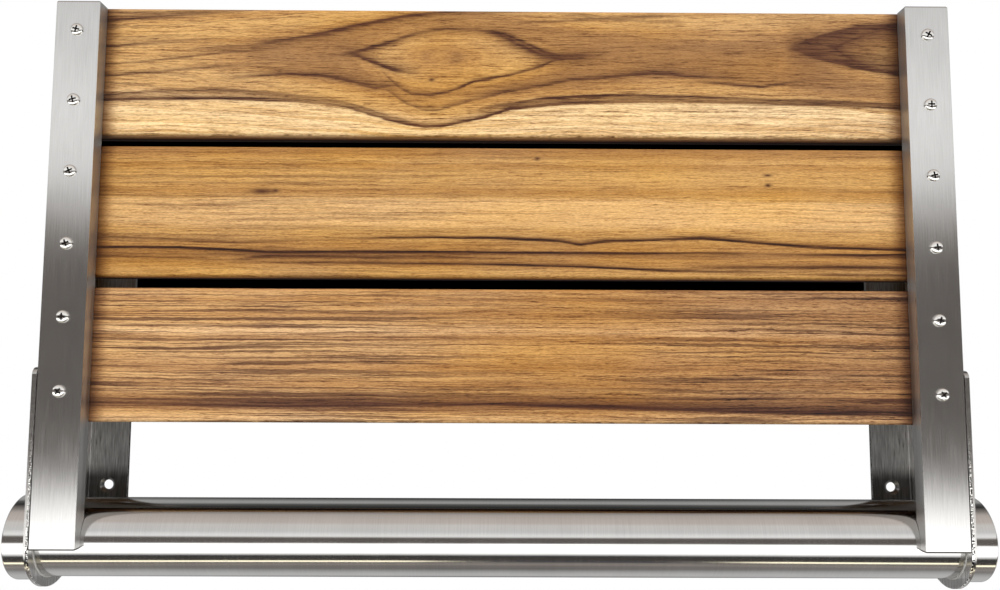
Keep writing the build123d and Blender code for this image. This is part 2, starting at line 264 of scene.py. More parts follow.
def brushed_stainless(name, shade, roughness, across, contrast=0.35, smear=1.0, streak=(0.6, 28), shade_height=None):
    """Stainless steel brushed with a fine belt.

    Fine scratches along the belt smear reflections sideways and leave thin light and dark streaks. The real
    scratches are about 0.05 mm wide, and are drawn as wider streaks, with a width and a length in
    millimetres, so that they show.
    across is the share of a turn from the piece's girth to the way that reflections are smeared, smear is
    how much more they are smeared that way, and contrast is the strength of the streaks. The last argument
    is the height up to which painted shade darkens a wall leg.
    """
    material, tree, spot = new_material(name)
    grain = add(tree, "UVMap", uv_map="grain")
    scratch = streak if across == 0 else streak[::-1]
    streaks = pattern(tree, grain, (*scratch, 1), detail=3.0)
    clouds = pattern(tree, grain, (25, 40, 1))
    value = add(tree, "MULTIPLY_ADD", streaks, contrast, 0.9 - contrast / 2)
    value = add(tree, "ADD", value, add(tree, "MULTIPLY", clouds, 0.2))
    dull = add(tree, "MULTIPLY_ADD", streaks, 0.12, roughness - 0.09)
    dull = add(tree, "ADD", dull, add(tree, "MULTIPLY", clouds, 0.06))
    if shade_height is not None:
        # Painted shade on the wall leg
        value, dull = painted_leg_shade(tree, spot, value, dull, shade_height)
    tone = add(tree, "HueSaturation", Value=value, Color=(*shade, 1.0))
    bump = add(tree, "Bump", Height=streaks, Strength=0.06, Distance=0.05 * MM)
    tangent = add(tree, "Tangent", direction_type="UV_MAP", uv_map="grain")
    finish_material(
        tree,
        Base_Color=tone,
        Metallic=1.0,
        Roughness=dull,
        Normal=bump,
        Anisotropic=smear,
        Anisotropic_Rotation=across,
        Tangent=tangent,
    )
    return material


def cut_stainless(name, shade):
    """Edge of a stainless plate cut by a torch and ground by hand.

    The inner part of the edge keeps some of the torch's pits and bright beads, about 1 mm apart, up to
    beside the rear slat. The rest is smooth with faint marks across it.
    """
    material, tree, spot = new_material(name)
    grain = add(tree, "UVMap", uv_map="grain")
    depth = add(tree, "SeparateXYZ", Vector=grain).outputs["X"]
    raw = add(tree, "MapRange", depth, 1.8 * MM, 1.3 * MM)
    patches = pattern(tree, spot, (14, 14, 14))
    left = add(tree, "MapRange", patches, 0.34, 0.42)
    raw = add(tree, "MULTIPLY", raw, left)
    up = add(tree, "SeparateXYZ", Vector=spot).outputs["Z"]
    low = add(tree, "MapRange", up, AXIS.z + 80 * MM, AXIS.z + 45 * MM)
    raw = add(tree, "MULTIPLY", raw, low)
    pits = pattern(tree, spot, (1, 1, 1), detail=0.0)
    drags = pattern(tree, spot, (4, 4, 1.0))
    stops = [(0.45, linear("#0C0A09")), (0.5, linear("#8F8D8A")), (0.55, linear("#F8F6F2"))]
    beads = add(tree, "ValToRGB", Fac=pits, stops=stops)
    value = add(tree, "MULTIPLY_ADD", drags, 0.3, 0.8)
    ground = add(tree, "HueSaturation", Value=value, Color=(*shade, 1.0))
    tone = add(tree, "Mix", raw, ground, beads, data_type="RGBA")
    height = add(tree, "MULTIPLY", pits, raw)
    bump = add(tree, "Bump", Height=height, Strength=0.4, Distance=0.3 * MM)
    dull = add(tree, "MULTIPLY_ADD", drags, 0.1, 0.1)
    finish_material(tree, Base_Color=tone, Metallic=1.0, Roughness=dull, Normal=bump)
    return material


def polished_stainless(name, shade, roughness):
    """Stainless screws, tumbled bright: sharp reflections, duller in the recess, with dents 1 mm apart."""
    material, tree, spot = new_material(name)
    dents = pattern(tree, spot, (1.2, 1.2, 1.2))
    bump = add(tree, "Bump", Height=dents, Strength=0.25, Distance=0.1 * MM)
    dull = add(tree, "MULTIPLY_ADD", dents, 0.1, roughness)
    finish_material(tree, Base_Color=(*shade, 1.0), Metallic=1.0, Roughness=dull, Normal=bump)
    return material


def ribbed_steel(name, shade):
    """Steel with fine ribs 0.4 mm apart along X, dull between them: marks of a lathe, or a weld's ripples."""
    material, tree, spot = new_material(name)
    ribs = pattern(tree, spot, (0.4, 30, 30))
    value = add(tree, "MULTIPLY_ADD", ribs, 0.3, 0.85)
    tone = add(tree, "HueSaturation", Value=value, Color=(*shade, 1.0))
    bump = add(tree, "Bump", Height=ribs, Strength=0.3, Distance=0.05 * MM)
    dull = add(tree, "MULTIPLY_ADD", ribs, 0.2, 0.25)
    finish_material(tree, Base_Color=tone, Metallic=1.0, Roughness=dull, Normal=bump)
    return material


def moulded_nylon(name, shade):
    """Moulded natural nylon: creamy and waxy, with a fine 1 mm mottle."""
    material, tree, spot = new_material(name)
    mottle = pattern(tree, spot, (1, 1, 1))
    value = add(tree, "MULTIPLY_ADD", mottle, 0.12, 0.94)
    tone = add(tree, "HueSaturation", Value=value, Color=(*shade, 1.0))
    dull = add(tree, "MULTIPLY_ADD", mottle, 0.2, 0.35)
    finish_material(tree, Base_Color=tone, Roughness=dull, IOR=1.53)
    return material


def pressed_lining(name, shade):
    """Pressed friction lining: dark and matt, with pale fibre flecks under 1 mm long."""
    material, tree, spot = new_material(name)
    flecks = pattern(tree, spot, (0.5, 0.5, 0.9), detail=3.0)
    tone = add(tree, "ValToRGB", Fac=flecks, stops=[(0.5, shade), (0.72, linear("#8A7B66"))])
    bump = add(tree, "Bump", Height=flecks, Strength=0.4, Distance=0.1 * MM)
    finish_material(tree, Base_Color=tone, Roughness=0.85, Normal=bump)
    return material


# The figure of each slat, in millimetres from its centre. The heart line runs along the slat at a height,
# and the log's heart lies at a depth behind it, apart from eyes, where the saw met it: an eye has its place
# and the reach of its closed rings to the left and to the right. Below and above the heart line the wood goes
# through bands, each given by its distance from the heart. Growth rings wander slowly and have small waves,
# fibres have a length, and grain is the strength of the fibres.
# Fine dark lines fade round a clear stretch, and the wood is duller away from it. The slat's tone has a level
# and changes from end to end by the slope, and its hue is 0.5 for the woods' own shades. Sapwood lies below
# its edge, given as (along, up). A vein is a dark line with its course as (along, up, darkness), and how far
# it fades below and above, and ink is how much darker all veins are drawn. A knot has its place, half length
# and half height. Gaps are the long sides at a gap or the tube, which get painted shade: the lower one, or
# both.
FIGURES = {
    "front_slat": {
        "gaps": 1,
        "heart": 11.0,
        "depth": 36.0,
        "eyes": ((-45.0, 66.0, 92.0), (312.0, 84.0, 84.0)),
        "wander": 4.0,
        "fibre": 28.0,
        "grain": 1.05,
        "ink": 0.1,
        "waves": 4.0,
        "below": (
            (0, "honey"), (5, "brown"), (8, "honey"), (17, "tan"), (20, "honey"), (23, "brown"),
            (30, "brown"), (32.5, "honey"), (34.5, "tan"), (40, "tan"), (44, "gold"), (50, "tan"),
            (62, "tan"),
        ),
        "above": (
            (0, "honey"), (5, "brown"), (8, "honey"), (15, "tan"), (20, "honey"), (23, "brown"),
            (30, "brown"), (33, "honey"), (36, "tan"), (41, "tan"), (44, "honey"), (48, "tan"), (62, "honey"),
        ),
        "lines": 0.5,
        "clear": (-40.0, 110.0),
        "dull": 0.05,
        "level": 0.265,
        "hue": 0.5,
        "slope": -0.03,
        "sapwood": (
            (-306, -22.5), (-251, -21), (-203, -20.3), (-146, -21.5), (-107, -26), (-77, -35), (-55, -39.3),
            (-43, -39), (-14, -32.5), (5, -26.2), (44, -22.3), (93, -20.8), (179, -21.5), (250, -23),
            (306, -26),
        ),
        "veins": (
            # Wedge, line and hairlines at the left end
            (((-306, 33, 0.8), (-269, 36.8, 0.8), (-224, 41.2, 0.7), (-192, 43.3, 0.5), (-175, 44.8, 0.2),
              (-150, 46, 0)), 0.8, 3.5),
            (((-306, 17, 0.8), (-269, 18.3, 0.9), (-258, 19.7, 0.7), (-242, 20.9, 0.45), (-210, 23.4, 0.3),
              (-190, 24, 0)), 0.7, 0.8),
            (((-306, 2, 0.2), (-255, 6.7, 0.5), (-219, 10.9, 0.5), (-203, 13.4, 0.55), (-171, 15.7, 0.4),
              (-150, 17, 0)), 0.4, 0.5),
            (((-306, -5, 0.4), (-269, -3, 0.7), (-232, 0.7, 0.5), (-201, 3.4, 0.6), (-185, 4.2, 0.4),
              (-160, 5, 0)), 0.4, 0.7),
            # Upper and lower edge of the brown lens beside the eye
            (((-230, 15, 0), (-210, 16.7, 0.4), (-178, 19.4, 0.5), (-150, 23.6, 0.8), (-123, 29.2, 1),
              (-89, 37.2, 0.95), (-71, 40.7, 0.9), (-39, 44.3, 0.8), (0, 45, 0.5), (40, 45.5, 0)), 2.4, 1),
            (((-200, -6, 0), (-185, -4.4, 0.4), (-153, -1.1, 0.8), (-127, -2.7, 1), (-112, -5.3, 0.9),
              (-89, -11.3, 0.8), (-78, -9.3, 0.5), (-68, -8, 0)), 0.7, 2.4),
            # Upper and lower side of the eye
            (((-118, 13.5, 0), (-105, 14.6, 0.9), (-96, 17, 1), (-84, 20.6, 0.95), (-73, 24.5, 0.8),
              (-62, 28.5, 0.65), (-41, 32.2, 0.6), (-20, 31.3, 0.65), (1, 28.3, 0.8), (17, 21.3, 0.85),
              (28, 15.8, 0.9), (39, 13.2, 0.8), (56, 13.4, 0.6), (78, 13.5, 0)), 2.2, 1.4),
            (((-12, 31, 0), (-5, 29, 0.6), (5.5, 23.7, 0.9), (16.6, 18, 1), (27.7, 13, 1), (38.7, 12.3, 0.9),
              (49.7, 12.5, 0.7), (70, 13, 0)), 3.5, 2.0),
            (((-114, 13.5, 0), (-103, 12, 0.9), (-93, 8.2, 1), (-84, 4.5, 1), (-75, 1.5, 0.9),
              (-64, 0.4, 0.5), (-55, 0, 0)), 1, 3.0),
            (((-88, 4, 0), (-80, -4, 0.5), (-73, -10.5, 0.5), (-64, -15.2, 0.7), (-50, -15.9, 0.85),
              (-39, -13.9, 0.7), (-29, -10, 0.95), (-21, -6.1, 1), (-11, -4.6, 0.95), (1, -2, 0.8),
              (21, 3.2, 0.75), (30, 6.5, 0.75), (37, 10.3, 0.6), (46, 12, 0)), 0.5, 1.2),
            # Line that dips under the eye and bounds the gold band on the right
            (((-90, -6, 0), (-77, -15.3, 0.4), (-68, -21.8, 0.5), (-55, -26.8, 0.55), (-45, -26.7, 0.55),
              (-20, -18.8, 0.55), (1, -13.4, 0.65), (30, -8.5, 0.7), (47, -4.5, 0.75), (83, -1.6, 0.85),
              (104, 0.5, 0.9), (118, 0.1, 0.95), (128, -1.6, 0.9), (146, -2.3, 0.6), (190, -5, 0)), 0.5, 2.2),
            (((-20, -28, 0), (-5, -22.9, 0.5), (9, -21.8, 0.7), (23, -18.5, 0.9), (56, -15.8, 0.95),
              (93, -15.1, 0.85), (144, -16.4, 0.75), (206, -18.4, 0.7), (241, -19.5, 0.7), (306, -22.5, 0.7)),
             2, 0.5),
            (((130, -5, 0), (148, -6, 0.7), (163, -7.3, 0.8), (183, -8.4, 0.8), (206, -4.9, 0.5),
              (230, -3, 0)), 0.7, 0.8),
            (((0, 36, 0), (35, 37.8, 0.5), (65, 39.7, 0.5), (107, 41.7, 0.5), (130, 42, 0)), 0.5, 0.8),
            # The second eye, cut by the right rail
            (((197, 19.5, 0), (206, 20.5, 0.6), (213, 24.2, 0.9), (223, 28.2, 0.95), (241, 33.2, 1),
              (255, 35.9, 0.9), (306, 38, 1)), 14, 1),
            (((197, 19.5, 0), (206, 18.5, 0.6), (214, 14.5, 0.9), (229, 10.3, 1), (244, 6.8, 1),
              (258, 3.8, 0.9), (306, -4, 0.9)), 0.8, 14),
            (((228, 21, 0), (234, 20.5, 0.8), (243, 24.5, 0.8), (255, 30, 0.6), (280, 36, 0.3), (306, 37, 0)),
             1.5, 1),
            (((228, 21, 0), (234, 19.5, 0.8), (240, 14.5, 0.8), (250, 9, 0.5), (262, 5, 0)), 1, 1.5),
            # Line and edge over the sapwood
            (((-306, -18.5, 0.7), (-270, -16.8, 0.7), (-248, -14.6, 0.6), (-203, -13.5, 0.6),
              (-182, -13.8, 0.7), (-146, -16.6, 0.5), (-127, -18.8, 0.4), (-107, -22.3, 0.6), (-77, -32, 0.4),
              (-60, -36, 0.2), (-14, -29, 0)), 1.9, 0.5),
            (((-306, -21.8, 1), (-251, -20.3, 0.95), (-203, -19.6, 0.85), (-171, -20, 0.9),
              (-146, -20.8, 0.7), (-125, -22.4, 0.65), (-107, -25.4, 0.7), (-77, -34.5, 0.9), (-55, -38.6, 1),
              (-43, -38.4, 1), (-14, -31.8, 1), (5, -25.5, 0.95), (44, -21.6, 0.85), (93, -20, 0.6),
              (125, -19.8, 0.5), (179, -20.8, 0.6), (250, -22.4, 0.75), (306, -25.2, 0.8)), 0.4, 1.7),
        ),
        "knots": ((-50.0, -5.0, 2.2, 1.4),),
    },
    "middle_slat": {
        "gaps": 2,
        "heart": 0.0,
        "depth": 0.0,
        "eyes": (),
        "wander": 2.0,
        "fibre": 34.0,
        "grain": 0.72,
        "ink": 0.65,
        "waves": 2.0,
        "below": (
            (0, "gold"), (8, "gold"), (13, "tan"), (18, "tan"), (22, "honey"), (27, "honey"), (30, "brown"),
            (33, "honey"), (37, "honey"), (41, "tan"), (62, "honey"),
        ),
        "above": (
            (0, "gold"), (8, "gold"), (10, "tan"), (14, "honey"), (20, "tan"), (28, "tan"), (33, "honey"),
            (36, "tan"), (40, "honey"), (46, "brown"), (62, "brown"),
        ),
        "lines": 0.4,
        "clear": (120.0, 130.0),
        "dull": 0.0,
        "level": 0.16,
        "hue": 0.5,
        "slope": 0.05,
        "sapwood": (),
        "veins": (
            (((-306, -18, 0.2), (-271, -18.2, 0.3), (-182, -22, 0.45), (-110, -19, 0.2), (-48, -17.5, 0.75),
              (-2, -18.2, 0.9), (40, -20, 0.9), (53, -22.2, 1), (70, -20, 0.9), (88, -19.2, 0.8),
              (138, -17.6, 1), (177, -20.6, 0.9), (217, -23.6, 0.8), (285, -24.8, 0.9), (306, -25, 0.9)),
             0.3, 1.2),
            (((-306, -25.1, 0.7), (-222, -25.1, 1), (-162, -28.2, 0.9), (-102, -27.6, 0.9), (-4, -27.7, 0.8),
              (78, -27.6, 0.8), (148, -27.6, 0.6), (177, -28, 0.2), (220, -28.1, 0.6), (250, -28.3, 0.9),
              (306, -27.6, 0.5)), 0.9, 0.25),
            (((-306, -36, 0), (-190, -35.2, 0.1), (-120, -35.4, 0.5), (-4, -36.1, 0.7), (58, -37.5, 0.9),
              (118, -40.1, 0.7), (200, -41, 0.1), (306, -41, 0)), 0.4, 1.0),
            (((-306, -31.5, 0.4), (-268, -31.6, 0.5), (-215, -32.3, 0.4), (-190, -33, 0)), 0.5, 0.5),
            (((-190, -33.5, 0), (-176, -32.8, 0.5), (-160, -31, 0.6), (-109, -31.3, 0.5), (-40, -31.5, 0.4),
              (20, -31.5, 0)), 1.0, 0.6),
            (((120, -36.5, 0), (160, -37.2, 0.5), (230, -37, 0.6), (306, -37.5, 0.5)), 1.5, 1.2),
            (((190, -42, 0), (225, -42.5, 0.4), (280, -43, 0.5), (306, -43.2, 0.4)), 0.6, 0.6),
        ),
        "knots": ((-166.0, 14.0, 9.0, 2.2), (-157.0, 14.5, 2.0, 1.3), (24.0, 38.0, 2.2, 1.2),
                  (184.0, 27.0, 3.0, 1.0), (184.0, 20.0, 2.4, 1.4)),
    },
    "rear_slat": {
        "gaps": 2,
        "heart": 0.0,
        "depth": 0.0,
        "eyes": (),
        "wander": 2.0,
        "fibre": 60.0,
        "grain": 1.0,
        "ink": 0.25,
        "waves": 1.2,
        "below": (
            (0, "tan"), (8, "honey"), (14, "tan"), (20, "honey"), (24, "tan"), (29, "honey"), (33, "brown"),
            (37, "brown"), (39, "tan"), (44, "gold"), (62, "honey"),
        ),
        "above": (
            (0, "tan"), (8, "tan"), (12, "honey"), (16, "gold"), (22, "tan"), (28, "honey"), (34, "tan"),
            (38, "honey"), (42, "tan"), (46, "honey"), (62, "brown"),
        ),
        "lines": 0.95,
        "clear": (35.0, 85.0),
        "dull": 0.08,
        "level": 0.12,
        "hue": 0.497,
        "slope": -0.26,
        "sapwood": (),
        "veins": (
            (((-306, -32.4, 0.5), (-233, -32.8, 0.7), (-195, -34.3, 0.9), (-137, -34.5, 0.9),
              (-60, -33.5, 0.8), (-4, -32.7, 0.8), (56, -34.5, 1), (114, -35.6, 1), (171, -37.1, 1),
              (229, -38.5, 0.95), (306, -38.8, 0.8)), 0.6, 4.5),
        ),
        "knots": (),
    },
}
FIGURE_REACH = 62.0
FIGURE_HALF = (CAD_BOX[1].x - CAD_BOX[0].x) / 2 / MM
# Heights of this span, in millimetres about the slat's centre, are shares from 0 to 1 in a colour ramp
RAMP_SPAN = 100.0
# How far growth layers rise for each millimetre into the slat
LEAN = 0.8
# Half the width of a vein's full darkness, in millimetres
VEIN_CORE = 0.5


def heart_distance(tree, x, height, figure):
    """Distance of growth rings from the heart of the log, closed round each eye.

    Returns it with the share of their bands that shows, which is full at the tips of an eye and outside it,
    and with the share of wood outside the eyes.
    """
    depth = figure["depth"]
    for place, left, right in figure["eyes"]:
        gone = add(tree, "ADD", x, -place)
        to_left = add(tree, "MAXIMUM", add(tree, "MULTIPLY", gone, -1 / left), 0.0)
        to_right = add(tree, "MAXIMUM", add(tree, "MULTIPLY", gone, 1 / right), 0.0)
        far = add(tree, "SUBTRACT", add(tree, "MULTIPLY", to_left, -1.0), to_right)
        share = add(tree, "MULTIPLY_ADD", add(tree, "EXPONENT", far), -1.0, 1.0)
        depth = add(tree, "MULTIPLY", share, depth)
    square = add(tree, "MULTIPLY_ADD", height, height, add(tree, "MULTIPLY", depth, depth))
    distance = add(tree, "SQRT", square)
    tip = add(tree, "DIVIDE", depth, distance)
    outside = add(tree, "MapRange", distance, 33.0, 38.0)
    shown = add(tree, "MAXIMUM", add(tree, "MULTIPLY_ADD", tip, 0.8, 0.25), outside)
    return distance, shown, outside


def over_course(tree, along, height, course):
    """Height over a course of (along, up, darkness) points, with the course's darkness."""
    stops = [(0.5 + at / 2 / FIGURE_HALF, (0.5 + up / RAMP_SPAN, weight, 0.0)) for at, up, weight in course]
    path = add(tree, "SeparateColor", Color=add(tree, "ValToRGB", Fac=along, stops=stops)).outputs
    level = add(tree, "MULTIPLY_ADD", path["Red"], RAMP_SPAN, -RAMP_SPAN / 2)
    return add(tree, "SUBTRACT", height, level), path["Green"]


def vein_darkness(tree, along, height, broken, vein):
    """Darkness of a vein, full along its course and fading below and above it."""
    course, fade_below, fade_above = vein
    gap, weight = over_course(tree, along, height, course)
    over = add(tree, "MULTIPLY_ADD", gap, 1 / fade_above, -VEIN_CORE / fade_above)
    under = add(tree, "MULTIPLY_ADD", gap, -1 / fade_below, -VEIN_CORE / fade_below)
    over = add(tree, "MAXIMUM", over, 0.0)
    under = add(tree, "MAXIMUM", under, 0.0)
    far = add(tree, "SUBTRACT", add(tree, "MULTIPLY", over, -1.0), under)
    return add(tree, "MULTIPLY", add(tree, "EXPONENT", far), add(tree, "MULTIPLY", broken, weight))


def knot_darkness(tree, x, z, knot):
    """Darkness of a knot, which fades all round."""
    across, up, knot_length, knot_height = knot
    east = add(tree, "MULTIPLY_ADD", x, 1 / knot_length, -across / knot_length)
    north = add(tree, "MULTIPLY_ADD", z, 1 / knot_height, -up / knot_height)
    far = add(tree, "MULTIPLY_ADD", north, north, add(tree, "MULTIPLY", east, east))
    return add(tree, "EXPONENT", add(tree, "MULTIPLY", far, -1.0))


def painted_slat_shade(tree, x, y, z, gaps):
    """Share of painted shade on a slat, with the edges' own: contact shade beside the rails, and shade on its
    long edges at the gaps.
    """
    inside = RAIL_BOX[0].x / MM
    # Painted contact shade on the wood beside each rail
    aside = add(tree, "ABSOLUTE", x)
    reach = (inside - 12.0, inside + 2.0)
    beside = add(tree, "MapRange", aside, *reach, To_Max=0.75, interpolation_type="SMOOTHSTEP")
    beside = add(tree, "MULTIPLY", beside, add(tree, "LESS_THAN", y, 0.0))
    # Painted shade on the long edges at the gaps, which deepens into the gap
    upright = add(tree, "ABSOLUTE", z) if gaps == 2 else add(tree, "MULTIPLY", z, -1.0)
    edge = add(tree, "MapRange", upright, SLAT_HALF.z / MM - 0.7, SLAT_HALF.z / MM - 0.1)
    inwards = add(tree, "MapRange", y, 4 * MM - SLAT_HALF.y, 11 * MM - SLAT_HALF.y, To_Max=0.98)
    edge = add(tree, "MULTIPLY", edge, inwards)
    return add(tree, "MAXIMUM", beside, edge), edge


def wood_patterns(tree, spot, split, heights, fibre):
    """Patterns of a slat by name, which run along its fibres or its growth rings, given the heights of both.

    Both kinds of layer ripple, and lean through the slat, so that fibres run along its narrow sides too.
    """
    ripples = add(tree, "MULTIPLY_ADD", pattern(tree, spot, (12, 9, 2.5), detail=1.0), 1.5, -0.75)
    lean = add(tree, "MULTIPLY_ADD", split["Y"], LEAN / MM, LEAN * SLAT_HALF.y / MM)
    ripples = add(tree, "ADD", ripples, lean)
    spots = []
    for height in heights:
        up = add(tree, "MULTIPLY", add(tree, "ADD", height, ripples), MM)
        spots.append(add(tree, "CombineXYZ", split["X"], split["Y"], up))
    fibre_spot, ring_spot = spots
    return {
        "streaks": pattern(tree, ring_spot, (230, 60, 3.2), detail=3.0),
        "threads": pattern(tree, ring_spot, (220, 40, 1.3)),
        "fibres": pattern(tree, fibre_spot, (fibre, 16, 0.6)),
        "tufts": pattern(tree, fibre_spot, (80, 30, 1.6)),
        "flecks": pattern(tree, fibre_spot, (2.5, 3, 0.45), detail=1.0),
        "pores": pattern(tree, fibre_spot, (6, 4, 0.5), detail=0.0),
        "clouds": pattern(tree, spot, (120, 40, 30)),
    }


def wood_bands(tree, tufts, height, distance, figure, woods):
    """Shades outwards from the heart, feathered along the fibres."""
    feather = add(tree, "ADD", distance, add(tree, "MULTIPLY_ADD", tufts, 5.0, -2.5))
    place = add(tree, "MULTIPLY", feather, 1 / FIGURE_REACH)
    halves = []
    for half in ("below", "above"):
        stops = [(at / FIGURE_REACH, getattr(woods, shade)) for at, shade in figure[half]]
        halves.append(add(tree, "ValToRGB", Fac=place, stops=stops))
    return add(tree, "Mix", add(tree, "GREATER_THAN", height, 0.0), *halves, data_type="RGBA")


def marked_wood(tree, wood, parts, x, z, figure, woods):
    """Wood with sapwood and veins, whose edges follow the tufts, and knots. Also gives the veins' darkness."""
    dark = (*woods.dark, 1.0)
    rough = add(tree, "MULTIPLY_ADD", parts["tufts"], 0.65 * figure["waves"], -0.325 * figure["waves"])
    rough = add(tree, "ADD", z, rough)
    along = add(tree, "MULTIPLY_ADD", x, 0.5 / FIGURE_HALF, 0.5)
    if figure["sapwood"]:
        course = [(at, up, 0.0) for at, up in figure["sapwood"]]
        gap = over_course(tree, along, rough, course)[0]
        pale = add(tree, "MapRange", gap, 0.6, -0.6)
        share = add(tree, "MapRange", parts["streaks"], 0.45, 0.62, To_Max=0.8)
        cream = add(tree, "Mix", share, (*woods.sapwood, 1.0), (*woods.tan, 1.0), data_type="RGBA")
        wood = add(tree, "Mix", pale, wood, cream, data_type="RGBA")
    broken = add(tree, "MapRange", parts["fibres"], 0.4, 0.56, 0.85, 1.3)
    ink = 0.0
    for vein in figure["veins"]:
        drawn = vein_darkness(tree, along, rough, broken, vein)
        wood = add(tree, "Mix", drawn, wood, dark, data_type="RGBA")
        ink = add(tree, "MAXIMUM", ink, drawn)
    for knot in figure["knots"]:
        wood = add(tree, "Mix", knot_darkness(tree, x, z, knot), wood, dark, data_type="RGBA")
    return wood, ink


def wood_tone(tree, parts, x, figure):
    """Tone of the patterns, from end to end of a slat."""
    grain = figure["grain"]
    gains = {
        "fibres": 1.1 * grain,
        "tufts": 0.7 * grain,
        "threads": 0.6 * grain,
        "flecks": 0.8,
        "clouds": 0.3,
    }
    base = 1 + figure["level"] - sum(gains.values()) / 2
    tone = add(tree, "MULTIPLY_ADD", x, figure["slope"] / FIGURE_HALF, base)
    for part, gain in gains.items():
        tone = add(tree, "MULTIPLY_ADD", parts[part], gain, tone)
    for part, least, most, gain in (("fibres", 0.53, 0.64, -0.7), ("pores", 0.58, 0.72, -0.35)):
        line = add(tree, "MapRange", parts[part], least, most)
        tone = add(tree, "MULTIPLY_ADD", line, gain * grain, tone)
    return tone


def teak(name, figure, woods):
    """Planed and oiled teak.

    Growth rings run along the slat and close into eyes where the saw met the heart of the log. Fine rippled
    fibres, short flecks and dark pores run along the slat, and the oiled face has a low, uneven shine. Fibres
    and pores are about 0.2 mm wide, and are drawn about 0.5 mm wide so that they show.
    """
    material, tree, spot = new_material(name)
    split = add(tree, "SeparateXYZ", Vector=spot).outputs
    x = add(tree, "MULTIPLY", split["X"], 1 / MM)
    z = add(tree, "MULTIPLY", split["Z"], 1 / MM)
    wander, wave = figure["wander"], figure["waves"]

    # The heart line wanders slowly, and growth rings have small waves of their own
    slow = pattern(tree, spot, (170, 60, 40))
    waves = pattern(tree, spot, (40, 30, 6))
    off = add(tree, "MULTIPLY_ADD", slow, 2 * wander, -wander)
    off = add(tree, "ADD", off, add(tree, "MULTIPLY_ADD", waves, wave, -wave / 2))
    height = add(tree, "ADD", z, add(tree, "ADD", off, -figure["heart"]))
    if figure["eyes"]:
        distance, shown, outside = heart_distance(tree, x, height, figure)
        rings = distance
    else:
        distance, shown, outside = add(tree, "ABSOLUTE", height), 1.0, 1.0
        rings = height
    level = add(tree, "ADD", z, add(tree, "MULTIPLY", slow, 2 * wander))
    parts = wood_patterns(tree, spot, split, (level, rings), figure["fibre"])
    wood = wood_bands(tree, parts["tufts"], height, distance, figure, woods)
    wood = add(tree, "Mix", shown, (*woods.honey, 1.0), wood, data_type="RGBA")

    # Fine dark lines, which fade round the clear stretch
    middle, reach = figure["clear"]
    from_clear = add(tree, "MULTIPLY_ADD", x, 1 / reach, -middle / reach)
    from_clear = add(tree, "MULTIPLY", from_clear, from_clear)
    clear = add(tree, "EXPONENT", add(tree, "MULTIPLY", from_clear, -1.0))
    strength = add(tree, "MULTIPLY_ADD", clear, -0.75 * figure["lines"], figure["lines"])
    strength = add(tree, "MULTIPLY", strength, add(tree, "MULTIPLY_ADD", outside, 0.7, 0.3))
    for part in ("streaks", "threads"):
        line = add(tree, "MapRange", parts[part], 0.55, 0.6, To_Max=0.8)
        drawn = add(tree, "MULTIPLY", line, strength)
        wood = add(tree, "Mix", drawn, wood, (*woods.dark, 1.0), data_type="RGBA")
    wood, ink = marked_wood(tree, wood, parts, x, z, figure, woods)

    # Veins and the painted shade beside the rails and at the gaps are darker, and dark fibres are warmer than
    # pale ones
    tone = wood_tone(tree, parts, x, figure)
    tone = add(tree, "MULTIPLY", tone, add(tree, "MULTIPLY_ADD", ink, -figure["ink"], 1.0))
    # Painted shade beside the rails and on the edges at the gaps
    painted_shade, edge = painted_slat_shade(tree, x, split["Y"], z, figure["gaps"])
    tone = add(tree, "MULTIPLY", tone, add(tree, "MULTIPLY_ADD", painted_shade, -1.0, 1.0))
    tone = add(tree, "MAXIMUM", tone, 0.02)
    warmth = add(tree, "CombineColor", tone, add(tree, "POWER", tone, 1.25), add(tree, "POWER", tone, 1.45))
    wood = add(tree, "Mix", 1.0, wood, warmth, data_type="RGBA", blend_type="MULTIPLY")
    rich = add(tree, "MULTIPLY_ADD", parts["clouds"], 0.2, 0.92 - figure["dull"])
    rich = add(tree, "MULTIPLY_ADD", clear, figure["dull"], rich)
    wood = add(tree, "HueSaturation", Hue=figure["hue"], Saturation=rich, Color=wood)
    bump = add(tree, "Bump", Height=parts["fibres"], Strength=0.15, Distance=0.15 * MM)
    dull = add(tree, "MULTIPLY_ADD", parts["fibres"], 0.25, 0.36)
    dull = add(tree, "MULTIPLY_ADD", edge, 0.5, dull)
    finish_material(
        tree, Base_Color=wood, Roughness=dull, Normal=bump, IOR=1.5, Specular_IOR_Level=0.25
    )
    return material


def teak_end(name, woods):
    """Sawn end of a teak slat: arcs of growth rings about 3 mm apart, dotted with pores."""
    material, tree, spot = new_material(name)
    moved = add(tree, "VectorMath", spot, (0.0, -60 * MM, 20 * MM), operation="ADD")
    flat = add(tree, "VectorMath", moved, (0.0, 1.0, 1.0), operation="MULTIPLY")
    radius = add(tree, "VectorMath", flat, operation="LENGTH").outputs["Value"]
    ring = add(tree, "CombineXYZ", X=radius)
    rings = pattern(tree, ring, (3, 1, 1), detail=3.0)
    pores = pattern(tree, spot, (5, 0.7, 0.7))
    wood = add(tree, "ValToRGB", Fac=rings, stops=[(0.35, woods.brown), (0.55, woods.tan), (0.7, woods.dark)])
    wood = add(tree, "HueSaturation", Value=add(tree, "MULTIPLY_ADD", pores, 0.7, 0.5), Color=wood)
    bump = add(tree, "Bump", Height=pores, Strength=0.3, Distance=0.2 * MM)
    finish_material(tree, Base_Color=wood, Roughness=0.7, Normal=bump, IOR=1.5)
    return material


